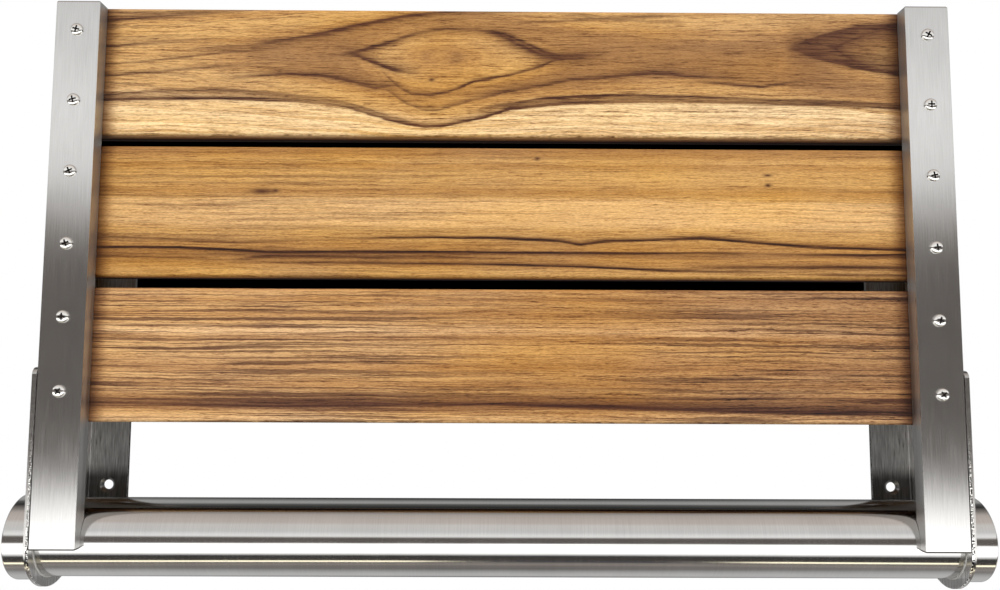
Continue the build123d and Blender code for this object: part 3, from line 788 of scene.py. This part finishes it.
def loft(rings, closed=False):
    """Skin over rings of points, with UVs in metres round it and along it. Returns the mesh and its rows."""
    bm = bmesh.new()
    grain = bm.loops.layers.uv.new("grain")
    rows = [[bm.verts.new(point) for point in ring] for ring in rings]
    count = len(rings[0])
    around = [0.0]
    for index in range(count):
        girth = max((ring[(index + 1) % count] - ring[index]).length for ring in rings)
        around.append(around[-1] + girth)
    along = [0.0]
    for index in range(len(rings)):
        following = rings[(index + 1) % len(rings)]
        along.append(along[-1] + max((b - a).length for a, b in zip(rings[index], following)))
    for level in range(len(rows) if closed else len(rows) - 1):
        low, high = rows[level], rows[(level + 1) % len(rows)]
        for index in range(count):
            after = (index + 1) % count
            face = bm.faces.new((low[index], low[after], high[after], high[index]))
            u, v = around[index:index + 2], along[level:level + 2]
            for loop, place in zip(face.loops, ((u[0], v[0]), (u[1], v[0]), (u[1], v[1]), (u[0], v[1]))):
                loop[grain].uv = place
    return bm, rows


def cap(bm, row, axes, material=0):
    """Closes a loft with one flat face, with UVs from two axes of its points."""
    grain = bm.loops.layers.uv["grain"]
    face = bm.faces.new(row)
    face.material_index = material
    for loop in face.loops:
        loop[grain].uv = (loop.vert.co[axes[0]], loop.vert.co[axes[1]])


def rounded_section(width, depth, radius, sides=()):
    """Rounded rectangle as (across, deep) points, the same on both sides of its middle.

    sides are extra places, given as depths, on the two straight sides.
    """
    steps = 5
    points = []
    for across, deep, start in ((1, -1, -90), (1, 1, 0), (-1, 1, 90), (-1, -1, 180)):
        centre = (across * (width / 2 - radius), deep * (depth / 2 - radius))
        for step in range(steps + 1):
            turn = math.radians(start + 90 * step / steps)
            points.append((centre[0] + radius * math.cos(turn), centre[1] + radius * math.sin(turn)))
        if (across, deep) == (1, -1):
            points += [(width / 2, place) for place in sides]
        if (across, deep) == (-1, 1):
            points += [(-width / 2, place) for place in reversed(sides)]
    return points


def circle(x, radius, count=128):
    """Ring of points square to X."""
    turns = [2 * math.pi * index / count for index in range(count)]
    return [Vector((x, radius * math.cos(turn), radius * math.sin(turn))) for turn in turns]


def quarter(radius, steps=5):
    """(inset, rise) pairs round a quarter of a rounded edge, from its start to its end."""
    turns = [math.pi / 2 * step / steps for step in range(steps + 1)]
    return [(radius * (1 - math.cos(turn)), radius * math.sin(turn)) for turn in turns]


def new_piece(name, bm, materials, body, nodes, place=(0, 0, 0)):
    """Makes a piece of a mesh, in place of the nodes that it stands for, and lets it ride on its body."""
    sharp = math.radians(40)
    bmesh.ops.recalc_face_normals(bm, faces=bm.faces)
    for face in bm.faces:
        face.smooth = True
    for edge in bm.edges:
        edge.smooth = edge.calc_face_angle(0.0) < sharp
    mesh = bpy.data.meshes.new(name)
    bm.to_mesh(mesh)
    bm.free()
    for material in materials:
        mesh.materials.append(material)
    piece = bpy.data.objects.new(name, mesh)
    piece.location = place
    bpy.context.scene.collection.objects.link(piece)
    bpy.context.view_layer.update()
    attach(piece, body)
    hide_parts(*nodes)
    return piece


def even_normals(piece):
    """Keeps flat faces flat up to their rounded edges."""
    normals = piece.modifiers.new("Even normals", "WEIGHTED_NORMAL")
    normals.keep_sharp = True


class SEAT_OT_slats(bpy.types.Operator):
    """Builds the three teak slats, each with its own figure."""

    bl_idname = "seat.slats"
    bl_label = "Teak slats"

    def execute(self, context):
        woods = context.scene.seat_slats
        end_wood = teak_end("Teak, sawn end", woods)
        for node in SLATS:
            low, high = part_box(node)
            size = high - low
            rings = []
            for side in (-1, 1):
                levels = [(woods.end_edge, 0.0), (0.0, woods.end_edge)][::-side]
                for inset, inwards in levels:
                    section = rounded_section(size.z - 2 * inset, size.y - 2 * inset, woods.edge - inset / 2)
                    x = side * (size.x / 2 - inwards)
                    rings.append([Vector((x, deep, across)) for across, deep in section])
            bm, rows = loft(rings)
            cap(bm, rows[0], (1, 2), material=1)
            cap(bm, rows[-1], (1, 2), material=1)
            wood = teak(f"Teak, planed and oiled, {node.replace('_', ' ')}", FIGURES[node], woods)
            board = new_piece(f"{node}_board", bm, (wood, end_wood), "seat", [node], (low + high) / 2)
            even_normals(board)
        return {"FINISHED"}


class SEAT_OT_rails(bpy.types.Operator):
    """Builds the two side rails with their ends welded shut and ground flush."""

    bl_idname = "seat.rails"
    bl_label = "Side rails"

    def execute(self, context):
        rail = context.scene.seat_rails
        shade = context.scene.seat_finish.steel
        steel = brushed_stainless("Stainless steel, brushed along", shade, 0.21, 0.0)
        side_steel = brushed_stainless("Stainless steel, as drawn", shade, 0.42, 0.0, smear=0.5)
        # Dark weld seam at the rail's foot, which also paints the shadow line at the tube
        seam = ribbed_steel("Stainless steel, weld seam", context.scene.seat_finish.seam_and_shade_steel)
        low, high = RAIL_BOX
        width, depth = high.x - low.x, high.y - low.y
        centre_x, centre_y = (low.x + high.x) / 2, (low.y + high.y) / 2
        lifts = [step * 3 * MM for step in range(1, 5)]
        saddle = [-TUBE_RADIUS] + [-math.sqrt(TUBE_RADIUS ** 2 - lift ** 2) for lift in lifts]
        sides = [AXIS.y + place - centre_y for place in saddle]
        for side, way in SIDES.items():
            foot = []
            for across, deep in rounded_section(width, depth, rail.corner, sides):
                from_axis = centre_y + deep - AXIS.y
                height = RAIL_FOOT
                if from_axis > -TUBE_RADIUS:
                    height = AXIS.z + math.sqrt(TUBE_RADIUS ** 2 - from_axis ** 2)
                foot.append(Vector((way * centre_x + across, centre_y + deep, height)))
            rings = [foot, [point + Vector((0, 0, rail.seam)) for point in foot]]
            for inset, rise in quarter(rail.end_edge):
                corner = rail.corner - inset / 2
                section = rounded_section(width - 2 * inset, depth - 2 * inset, corner, sides)
                top = RAIL_END - rail.end_edge + rise
                rings.append([Vector((way * centre_x + a, centre_y + d, top)) for a, d in section])
            bm, rows = loft(rings)
            for face in bm.faces:
                face.normal_update()
                face.material_index = int(abs(face.normal.x) > 0.99)
                # Faces at the foot take the weld seam, whose dark colour also paints the shadow line at the
                # tube
                if any(vert in rows[0] for vert in face.verts):
                    face.material_index = 2
            cap(bm, rows[-1], (0, 1))
            base = rows[0]
            for index in range(len(base) // 2 - 1):
                bm.faces.new((base[index], base[index + 1], base[-index - 2], base[-index - 1]))
            nodes = [f"{side}_side_rail", f"{side}_rail_top_cap", f"{side}_rail_foot_cap"]
            materials = (steel, side_steel, seam)
            tube = new_piece(f"{side}_rail_tube", bm, materials, "seat", nodes)
            even_normals(tube)
        return {"FINISHED"}


class SEAT_OT_hinge_tube(bpy.types.Operator):
    """Builds the round tube that the rails are welded to."""

    bl_idname = "seat.hinge_tube"
    bl_label = "Hinge tube"

    def execute(self, context):
        hinge = context.scene.seat_hinge
        shade = context.scene.seat_finish.steel
        steel = brushed_stainless(
            "Stainless steel, polished round", shade, 0.11, 0.25, contrast=0.2, smear=0.6
        )
        half = (TUBE_BOX[1].x - TUBE_BOX[0].x) / 2
        edge = hinge.tube_edge
        inside = TUBE_RADIUS - hinge.tube_wall
        profile = (
            (-half, TUBE_RADIUS - edge),
            (-half + edge, TUBE_RADIUS),
            (half - edge, TUBE_RADIUS),
            (half, TUBE_RADIUS - edge),
            (half, inside),
            (-half, inside),
        )
        bm = loft([circle(x, radius) for x, radius in profile], closed=True)[0]
        tube = new_piece("hinge_tube_body", bm, (steel,), "seat", ["hinge_tube"], AXIS)
        even_normals(tube)
        return {"FINISHED"}


class SEAT_OT_hub_covers(bpy.types.Operator):
    """Builds the drawn cups over the hinge nuts."""

    bl_idname = "seat.hub_covers"
    bl_label = "Hub covers"

    def execute(self, context):
        hinge = context.scene.seat_hinge
        shade = context.scene.seat_finish.steel
        steel = brushed_stainless(
            "Stainless steel, drawn and polished", shade, 0.11, 0.25, contrast=0.2, smear=0.6
        )
        low, high = COVER_BOX
        radius = (high.z - low.z) / 2
        inside = radius - hinge.cover_wall
        profile = [(high.x - hinge.cover_wall, inside), (low.x, inside), (low.x, radius)]
        for inset, rise in quarter(hinge.cover_edge):
            profile.append((high.x - hinge.cover_edge + rise, radius - inset))
        for side, way in SIDES.items():
            bm, rows = loft([circle(way * x, reach) for x, reach in profile])
            cap(bm, rows[0], (1, 2))
            cap(bm, rows[-1], (1, 2))
            place = (0, AXIS.y, AXIS.z)
            nodes = [f"{side}_hub_cover"]
            cup = new_piece(f"{side}_hub_cup", bm, (steel,), "wall_frame", nodes, place)
            even_normals(cup)
        return {"FINISHED"}


def rounded_outline(corners):
    """Closed outline of ((x, y), radius) corners, with an arc where a corner has a radius."""
    steps = 6
    outline = []
    for index, (point, radius) in enumerate(corners):
        here = Vector(point)
        if radius == 0:
            outline.append(here)
            continue
        before = (Vector(corners[index - 1][0]) - here).normalized()
        after = (Vector(corners[(index + 1) % len(corners)][0]) - here).normalized()
        half = before.angle(after) / 2
        centre = here + (before + after).normalized() * radius / math.sin(half)
        start = here + before * radius / math.tan(half) - centre
        end = here + after * radius / math.tan(half) - centre
        for step in range(steps + 1):
            outline.append(centre + radius * start.slerp(end, step / steps).normalized())
    return outline


class SEAT_OT_brackets(bpy.types.Operator):
    """Builds the wall brackets: a plate cut to its outline, drilled, countersunk and bent."""

    bl_idname = "seat.brackets"
    bl_label = "Wall brackets"

    def flat_outline(self, bracket, leg, bend, axis):
        """Outline of the flat plate from the leg's lower corner, as places along it and up from the axis."""
        round_end = AXIS.y - BRACKET_BOX[0].y
        top = BRACKET_BOX[1].z - AXIS.z
        turn = leg + bend
        land = axis - turn
        tangent = math.atan2(bracket.leg_bottom, land)
        tangent -= math.acos(round_end / math.hypot(land, bracket.leg_bottom))
        corners = [((0.0, bracket.leg_bottom), bracket.leg_corner), ((turn, bracket.leg_bottom), 0)]
        steps = 40
        for step in range(steps + 1):
            around = tangent - (math.pi + tangent) * step / steps
            corners.append(((axis - round_end * math.cos(around), round_end * math.sin(around)), 0))
        corners.append(((axis + round_end, bracket.front_height), bracket.cheek_corner))
        slope_foot = (axis + round_end - bracket.top_length, bracket.front_height)
        corners.append((slope_foot, bracket.slope_corner))
        corners.append(((turn + bracket.slope_corner, top), bracket.slope_corner))
        corners.append(((0.0, top), bracket.leg_corner))
        return rounded_outline(corners)

    def flat_plate(self, bracket, leg, bend, axis):
        """Flat plate as a sheet with its holes, cut across where it bends, and the places of its bores."""
        sheet = bmesh.new()
        loops = [self.flat_outline(bracket, leg, bend, axis)]
        hole_x = WALL_HOLES["spacing_x_mm"] * MM / 2 - BRACKET_BOX[0].x
        pitch = WALL_HOLES["spacing_y_mm"] * MM / 2
        radius = WALL_HOLES["hole_r_mm"] * MM
        count = 32
        turns = [2 * math.pi * index / count for index in range(count)]
        for row in (-1, 0, 1):
            centre = Vector((hole_x, row * pitch - AXIS.z))
            loops.append([centre + bracket.countersink * Vector((math.cos(t), math.sin(t))) for t in turns])
        edges = []
        rings = []
        for points in loops:
            verts = [sheet.verts.new((*point, 0)) for point in points]
            rings.append(verts)
            edges += [sheet.edges.new((verts[index - 1], verts[index])) for index in range(len(verts))]
        bmesh.ops.triangle_fill(sheet, edges=edges, use_beauty=True)
        sinks = set()
        for row, verts in zip((-1, 0, 1), rings[1:]):
            centre = Vector((hole_x, row * pitch - AXIS.z))
            places = [centre + radius * Vector((math.cos(t), math.sin(t))) for t in turns]
            bore = [sheet.verts.new((*place, 0)) for place in places]
            for index in range(count):
                sheet.faces.new((verts[index - 1], verts[index], bore[index], bore[index - 1]))
            sinks.update((round(vert.co.x, 6), round(vert.co.y, 6)) for vert in bore)
        cuts = 8
        for cut in range(cuts + 1):
            everything = sheet.verts[:] + sheet.edges[:] + sheet.faces[:]
            place = (leg + bend * cut / cuts, 0, 0)
            bmesh.ops.bisect_plane(sheet, geom=everything, plane_co=place, plane_no=(1, 0, 0), dist=1e-7)
        return sheet, sinks

    def bent_plate(self, bracket, sheet, sinks, bent, way):
        """Mesh of the plate: a flat sheet's two skins and cut edges, with its points placed by bent."""
        bm = bmesh.new()
        grain = bm.loops.layers.uv.new("grain")
        room, wall = {}, {}
        sunk = bracket.countersink - WALL_HOLES["hole_r_mm"] * MM
        for vert in sheet.verts:
            along, up = vert.co.x, vert.co.y
            deep = sunk if (round(along, 6), round(up, 6)) in sinks else 0.0
            room[vert] = bm.verts.new(bent(along, up, deep, way))
            wall[vert] = bm.verts.new(bent(along, up, bracket.plate, way))
        for face in sheet.faces:
            for skin in (room, wall):
                made = bm.faces.new([skin[vert] for vert in face.verts])
                for loop, vert in zip(made.loops, face.verts):
                    loop[grain].uv = vert.co.xy
        for edge in sheet.edges:
            if len(edge.link_faces) != 1:
                continue
            first, second = edge.verts
            made = bm.faces.new((room[first], room[second], wall[second], wall[first]))
            made.material_index = 1
            places = ((first, 0), (second, 0), (second, bracket.plate), (first, bracket.plate))
            for loop, (vert, depth) in zip(made.loops, places):
                loop[grain].uv = (depth, vert.co.x + vert.co.y)
        sheet.free()
        return bm

    def execute(self, context):
        bracket = context.scene.seat_brackets
        finish = context.scene.seat_finish
        # Painted shade darkens the wall legs up to this height
        shade_height = AXIS.z + 44 * MM
        steel = brushed_stainless(
            "Stainless plate, brushed upright",
            finish.steel,
            0.3,
            0.0,
            contrast=1.8,
            smear=0.8,
            streak=(1, 14),
            shade_height=shade_height,
        )
        edge_steel = cut_stainless("Stainless plate, torch cut edge", finish.cut_steel)
        inner, outer = bracket.bend, bracket.bend + bracket.plate
        cheek_outside = COVER_BOX[0].x
        leg = cheek_outside - outer - BRACKET_BOX[0].x
        bend = math.pi / 2 * (inner + outer) / 2
        axis = leg + bend - outer - AXIS.y

        def bent(along, up, depth, way):
            """Place of a point of the plate: depth runs from the room side, 0, to the wall side."""
            if along <= leg:
                x, y = BRACKET_BOX[0].x + along, depth - bracket.plate
            elif along >= leg + bend:
                x, y = cheek_outside - bracket.plate + depth, leg + bend - outer - along
            else:
                turn = math.pi / 2 * (along - leg) / bend
                x = cheek_outside - outer + (inner + depth) * math.sin(turn)
                y = -outer + (inner + depth) * math.cos(turn)
            return Vector((way * x, y, AXIS.z + up))

        for side, way in SIDES.items():
            sheet, sinks = self.flat_plate(bracket, leg, bend, axis)
            bm = self.bent_plate(bracket, sheet, sinks, bent, way)
            nodes = [f"{side}_wall_bracket"]
            plate = new_piece(
                f"{side}_bracket_plate", bm, (steel, edge_steel), "wall_frame", nodes
            )
            broken = plate.modifiers.new("Broken edges", "BEVEL")
            broken.width = bracket.broken_edge
            broken.segments = 2
            broken.limit_method = "ANGLE"
            broken.angle_limit = math.radians(50)
            even_normals(plate)
        return {"FINISHED"}


class SEAT_OT_screws(bpy.types.Operator):
    """Builds the pan head screws that hold the slats."""

    bl_idname = "seat.screws"
    bl_label = "Slat screws"

    def head(self, screw, height, materials):
        """Mesh of one screw head with its cross recess, standing up along X, in two materials."""
        count = 48
        rings = [circle(x, screw.head_radius, count) for x in (0.0, screw.head_rim)]
        rise = height - screw.head_rim
        crown = screw.head_radius * 0.3
        for inset, up in quarter(1.0, 6)[1:]:
            radius = screw.head_radius - inset * (screw.head_radius - crown)
            rings.append(circle(screw.head_rim + up * rise, radius, count))
        bm, rows = loft(rings)
        cap(bm, rows[0], (1, 2))
        cap(bm, rows[-1], (1, 2))
        bmesh.ops.recalc_face_normals(bm, faces=bm.faces)
        body = self.as_object("head", bm, materials)
        # Two crossed slots, which taper to their bottom
        cutter = bmesh.new()
        for turn in (0, 90):
            slot = bmesh.ops.create_cube(cutter, size=1.0)["verts"]
            for vert in slot:
                top = vert.co.x > 0
                vert.co.x = height + MM if top else height - screw.recess_depth
                vert.co.y *= screw.recess_span * (1.4 if top else 0.6)
                vert.co.z *= screw.recess_width * (1.2 if top else 0.8)
            spin = Matrix.Rotation(math.radians(turn), 3, "X")
            bmesh.ops.rotate(cutter, verts=slot, cent=(0, 0, 0), matrix=spin)
        for face in cutter.faces:
            face.material_index = 1
        slots = self.as_object("slots", cutter, materials)
        cut = body.modifiers.new("Cross recess", "BOOLEAN")
        cut.object = slots
        cut.use_self = True
        bpy.context.view_layer.update()
        mesh = bpy.data.meshes.new_from_object(body.evaluated_get(bpy.context.evaluated_depsgraph_get()))
        for spare in (body, slots):
            bpy.data.objects.remove(spare)
        return mesh

    def as_object(self, name, bm, materials):
        """Object of a mesh, for the cut alone."""
        mesh = bpy.data.meshes.new(name)
        bm.to_mesh(mesh)
        bm.free()
        for material in materials:
            mesh.materials.append(material)
        made = bpy.data.objects.new(name, mesh)
        bpy.context.scene.collection.objects.link(made)
        return made

    def execute(self, context):
        screw = context.scene.seat_screws
        finish = context.scene.seat_finish
        steel = polished_stainless("Stainless steel, tumbled bright", finish.bright_steel, 0.08)
        # Painted shade in the cross recesses, drawn as a dark steel
        shaded = polished_stainless("Stainless steel, punched recess", finish.recess_shade_steel, 0.35)
        low, high = SCREW_BOX
        front = RAIL_BOX[0].y
        head = self.head(screw, front - low.y, (steel, shaded))
        centre_x = (low.x + high.x) / 2
        pitch = (high.z - low.z - 2 * screw.head_radius) / (screw.count - 1)
        turn_each = math.radians(37)
        for side, way in SIDES.items():
            bm = bmesh.new()
            for index in range(screw.count):
                place = Vector((way * centre_x, front, low.z + screw.head_radius + index * pitch))
                facing = Matrix.Rotation(-math.pi / 2, 4, "Z")
                spin = Matrix.Rotation(turn_each * (index * index + way), 4, "X")
                start = len(bm.verts)
                bm.from_mesh(head)
                bm.verts.ensure_lookup_table()
                matrix = Matrix.Translation(place) @ facing @ spin
                bmesh.ops.transform(bm, matrix=matrix, verts=bm.verts[start:])
            nodes = [f"{side}_slat_screws"]
            new_piece(f"{side}_screw_heads", bm, (steel, shaded), "seat", nodes)
        return {"FINISHED"}


class SEAT_OT_hinge_works(bpy.types.Operator):
    """Gives the pieces inside the hinges their finishes."""

    bl_idname = "seat.hinge_works"
    bl_label = "Hinge works"

    def execute(self, context):
        finish = context.scene.seat_finish
        nylon = moulded_nylon("Nylon, moulded", finish.nylon)
        lining = pressed_lining("Friction lining, pressed", finish.lining)
        steel = ribbed_steel("Stainless steel, turned", finish.turned_steel)
        works = {
            "hinge_bush": nylon,
            "thrust_washer": nylon,
            "friction_washer": lining,
            "stop_pin": steel,
            "hinge_spindle": steel,
            "pressure_washer": steel,
            "disc_spring": steel,
            "lock_nut": steel,
        }
        for side in SIDES:
            for node, material in works.items():
                mesh = frame["nodes"][f"{side}_{node}"].data
                mesh.materials.clear()
                mesh.materials.append(material)
        return {"FINISHED"}


# The studio by height above the horizon in degrees, each with its brightness and its tint. Steel mirrors the
# room: a pale floor with a gold strip, a dark far side at eye level and a soft light ceiling, which end up as
# bands.
PLAIN = (1.0, 1.0, 1.0)
TEPID = (1.0, 0.96, 0.93)
WARM = (1.0, 0.9, 0.84)
GOLD = (1.0, 0.92, 0.69)
ROOM_FRONT = (
    (-90, 0.22, TEPID), (-80, 0.26, WARM), (-74, 0.40, WARM), (-65.3, 0.30, WARM), (-64, 2.50, GOLD),
    (-60.9, 2.50, GOLD), (-59.4, 0.10, WARM), (-44, 0.07, TEPID), (-38, 1.40, PLAIN), (-34, 2.20, PLAIN),
    (-11.5, 2.60, PLAIN), (-9.4, 2.30, PLAIN), (-8, 1.50, PLAIN), (-6.8, 0.55, TEPID), (-5.6, 0.22, WARM),
    (-4, 0.19, WARM), (6.5, 0.19, WARM), (8, 0.30, WARM), (9.5, 0.66, TEPID), (11, 1.05, PLAIN),
    (12.5, 1.30, PLAIN), (16, 1.25, PLAIN), (25, 0.94, PLAIN), (45, 0.95, TEPID), (52, 0.82, WARM),
    (61, 0.79, WARM), (68, 0.73, WARM), (74, 0.68, WARM), (82, 0.56, WARM), (90, 0.30, WARM),
)
ROOM_BACK = (
    (-90, 0.22, TEPID), (-72, 0.58, PLAIN), (-60, 0.70, PLAIN), (-30, 0.60, PLAIN), (0, 0.30, PLAIN),
    (20, 0.50, PLAIN), (45, 0.50, PLAIN), (53, 0.46, PLAIN), (57, 0.20, PLAIN), (61, 0.13, PLAIN),
    (70, 0.05, PLAIN), (80, 0.04, PLAIN), (90, 0.30, WARM),
)
# Soft light on matt surfaces comes from a dome that is bright above and dim below and behind
DOME = (
    (-90, 0.30, PLAIN), (-30, 0.35, PLAIN), (-8, 0.50, PLAIN), (10, 1.05, PLAIN), (45, 1.40, PLAIN),
    (90, 1.35, PLAIN),
)
ROOM_PEAK = 2.6
# The middle of the gold strip is covered: its height and half its width in degrees, its place across the room
# and how far from there the cover ends
COVER_LIFT = (-62.4, 3.2)
COVER_PLACE = 0.1
COVER_REACH = (0.2, 0.14)
COVER_LIGHT = (0.04, 0.04, 0.045, 1.0)
FAR_END_LIGHT = (0.03, 0.03, 0.03, 1.0)
# A soft dark patch on the backdrop, painted shade seen through the gaps between the slats, in slopes of the
# view: its middle's rise, and where it fades out
PATCH_RISE = 0.185
PATCH_SIDES = (0.505, 0.535)
PATCH_ENDS = (0.11, 0.16)


class SEAT_OT_stage(bpy.types.Operator):
    """Sets up the camera, the floor, the lights and the studio that the steel mirrors."""

    bl_idname = "seat.stage"
    bl_label = "Stage"

    def add_camera(self, stage):
        camera = bpy.data.objects.new("Camera", bpy.data.cameras.new("Camera"))
        camera.location = (stage.camera_x, stage.camera_y, stage.camera_z)
        camera.rotation_euler = (math.pi / 2 + stage.tilt, stage.roll, stage.turn)
        camera.data.sensor_width = 36.0
        camera.data.lens = stage.lens
        camera.data.clip_start = 0.01
        bpy.context.scene.collection.objects.link(camera)
        bpy.context.scene.camera = camera

    def add_floor(self, stage):
        material, tree, spot = new_material("Studio floor, painted board")
        clouds = pattern(tree, spot, (300, 300, 300))
        value = add(tree, "MULTIPLY_ADD", clouds, 0.04, 0.98)
        tone = add(tree, "HueSaturation", Value=value, Color=(*stage.floor, 1.0))
        finish_material(tree, Base_Color=tone, Roughness=0.6, IOR=1.45)
        bm = bmesh.new()
        corners = ((-2.0, -3.0), (2.0, -3.0), (2.0, 1.0), (-2.0, 1.0))
        bm.faces.new([bm.verts.new((x, y, -stage.floor_drop)) for x, y in corners])
        mesh = bpy.data.meshes.new("floor")
        bm.to_mesh(mesh)
        bm.free()
        mesh.materials.append(material)
        floor = bpy.data.objects.new("floor", mesh)
        floor.visible_glossy = False
        floor.visible_diffuse = False
        bpy.context.scene.collection.objects.link(floor)

    def add_light(self, name, place, target, size, power):
        light = bpy.data.lights.new(name, "AREA")
        light.shape = "RECTANGLE"
        light.size, light.size_y = size
        light.energy = power
        lamp = bpy.data.objects.new(name, light)
        lamp.location = place
        lamp.rotation_euler = (Vector(target) - Vector(place)).to_track_quat("-Z", "Y").to_euler()
        lamp.visible_glossy = False
        lamp.visible_camera = False
        bpy.context.scene.collection.objects.link(lamp)

    def mirrored_room(self, tree, split, path):
        """Light of the studio by direction: the room for mirrored rays, and the dome for all others."""
        # Floor and ceiling have strips along X, so that a tube mirrors them as straight lines
        lift = add(tree, "ARCSINE", split["Z"])
        strip = add(tree, "ARCTAN2", split["Z"], add(tree, "ABSOLUTE", split["Y"]))
        steep = add(tree, "MapRange", add(tree, "ABSOLUTE", split["Z"]), 0.3, 0.5, To_Max=0.7)
        lift = add(tree, "Mix", steep, lift, strip, data_type="FLOAT")
        height = add(tree, "MULTIPLY_ADD", lift, 1 / math.pi, 0.5)
        rooms = []
        for room in (ROOM_BACK, ROOM_FRONT, DOME):
            stops = []
            for at, light, tint in room:
                stops.append((0.5 + at / 180, [light / ROOM_PEAK * part for part in tint]))
            rooms.append(add(tree, "ValToRGB", Fac=height, stops=stops))
        back, front, dome = rooms
        aside = add(tree, "ABSOLUTE", add(tree, "ADD", split["X"], -COVER_PLACE))
        level = add(tree, "COMPARE", lift, *[math.radians(degrees) for degrees in COVER_LIFT])
        covered = add(tree, "MULTIPLY", add(tree, "MapRange", aside, *COVER_REACH), level)
        front = add(tree, "Mix", covered, front, COVER_LIGHT, data_type="RGBA")

        # The far end of the room, straight behind the seat, is dark
        behind = add(tree, "MapRange", split["Y"], 0.7, 0.93)
        back = add(tree, "Mix", behind, back, FAR_END_LIGHT, data_type="RGBA")
        facing = add(tree, "MapRange", split["Y"], 0.2, -0.2)
        room = add(tree, "Mix", facing, back, front, data_type="RGBA")
        dim = add(tree, "VectorMath", dome, (0.35, 0.35, 0.35), operation="MULTIPLY")
        dome = add(tree, "Mix", facing, dim, dome, data_type="RGBA")
        light = add(tree, "Mix", path["Is Glossy Ray"], dome, room, data_type="RGBA")
        return add(tree, "Background", Color=light, Strength=ROOM_PEAK)

    def white_backdrop(self, tree, split):
        """What the camera sees round the seat: white, with a soft dark patch far behind the slats, painted
        shade seen through their gaps.
        """
        ahead = add(tree, "MAXIMUM", split["Y"], 0.01)
        aside = add(tree, "ABSOLUTE", add(tree, "DIVIDE", split["X"], ahead))
        above = add(tree, "DIVIDE", split["Z"], ahead)
        rise = add(tree, "ABSOLUTE", add(tree, "ADD", above, -PATCH_RISE))
        beside = add(tree, "MapRange", aside, *PATCH_SIDES)
        over = add(tree, "MapRange", rise, *PATCH_ENDS)
        pale = add(tree, "MAXIMUM", beside, over)
        pale = add(tree, "MAXIMUM", pale, add(tree, "LESS_THAN", split["Y"], 0.3))
        return add(tree, "Background", Color=pale, Strength=1.0)

    def add_world(self):
        world = bpy.data.worlds.new("Studio")
        world.use_nodes = True
        tree = world.node_tree
        tree.nodes.clear()
        split = add(tree, "SeparateXYZ", Vector=add(tree, "TexCoord").outputs["Generated"]).outputs
        path = add(tree, "LightPath").outputs
        studio = self.mirrored_room(tree, split, path)
        backdrop = self.white_backdrop(tree, split)
        seen = add(tree, "MixShader", path["Is Camera Ray"], studio, backdrop)
        add(tree, "OutputWorld", Surface=seen)
        world.cycles.sampling_method = "NONE"
        bpy.context.scene.world = world

    def execute(self, context):
        stage = context.scene.seat_stage
        self.add_camera(stage)
        self.add_floor(stage)
        self.add_light("Key", (-0.9, -1.3, 1.2), (0, 0, 0.1), (1.0, 1.0), 7)
        self.add_light("Fill", (1.1, -1.3, 0.7), (0, 0, 0.1), (1.0, 1.0), 5)
        self.add_light("Back", (0.0, 1.4, 1.2), (0, 0, 0.1), (1.4, 0.8), 5)
        self.add_world()
        context.scene.view_settings.view_transform = "Standard"
        return {"FINISHED"}


class SEAT_PT_panel(bpy.types.Panel):
    """Lists the operators of the seat."""

    bl_idname = "SEAT_PT_panel"
    bl_label = "Shower seat"
    bl_space_type = "VIEW_3D"
    bl_region_type = "UI"
    bl_category = "Shower seat"

    def draw(self, context):
        for operator in OPERATORS:
            self.layout.operator(operator.bl_idname)


OPERATORS = (
    SEAT_OT_slats,
    SEAT_OT_rails,
    SEAT_OT_hinge_tube,
    SEAT_OT_hub_covers,
    SEAT_OT_brackets,
    SEAT_OT_screws,
    SEAT_OT_hinge_works,
    SEAT_OT_stage,
)
SETTINGS = {
    "seat_slats": SlatSettings,
    "seat_rails": RailSettings,
    "seat_screws": ScrewSettings,
    "seat_hinge": HingeSettings,
    "seat_brackets": BracketSettings,
    "seat_finish": FinishSettings,
    "seat_stage": StageSettings,
}


def register():
    for name, group in SETTINGS.items():
        bpy.utils.register_class(group)
        setattr(bpy.types.Scene, name, PointerProperty(type=group))
    for operator in OPERATORS:
        bpy.utils.register_class(operator)
    bpy.utils.register_class(SEAT_PT_panel)


def unregister():
    bpy.utils.unregister_class(SEAT_PT_panel)
    for operator in reversed(OPERATORS):
        bpy.utils.unregister_class(operator)
    for name, group in SETTINGS.items():
        delattr(bpy.types.Scene, name)
        bpy.utils.unregister_class(group)


def main():
    register()
    bpy.ops.seat.slats()
    bpy.ops.seat.rails()
    bpy.ops.seat.hinge_tube()
    bpy.ops.seat.hub_covers()
    bpy.ops.seat.brackets()
    bpy.ops.seat.screws()
    bpy.ops.seat.hinge_works()
    bpy.ops.seat.stage()


if __name__ == "__main__":
    main()
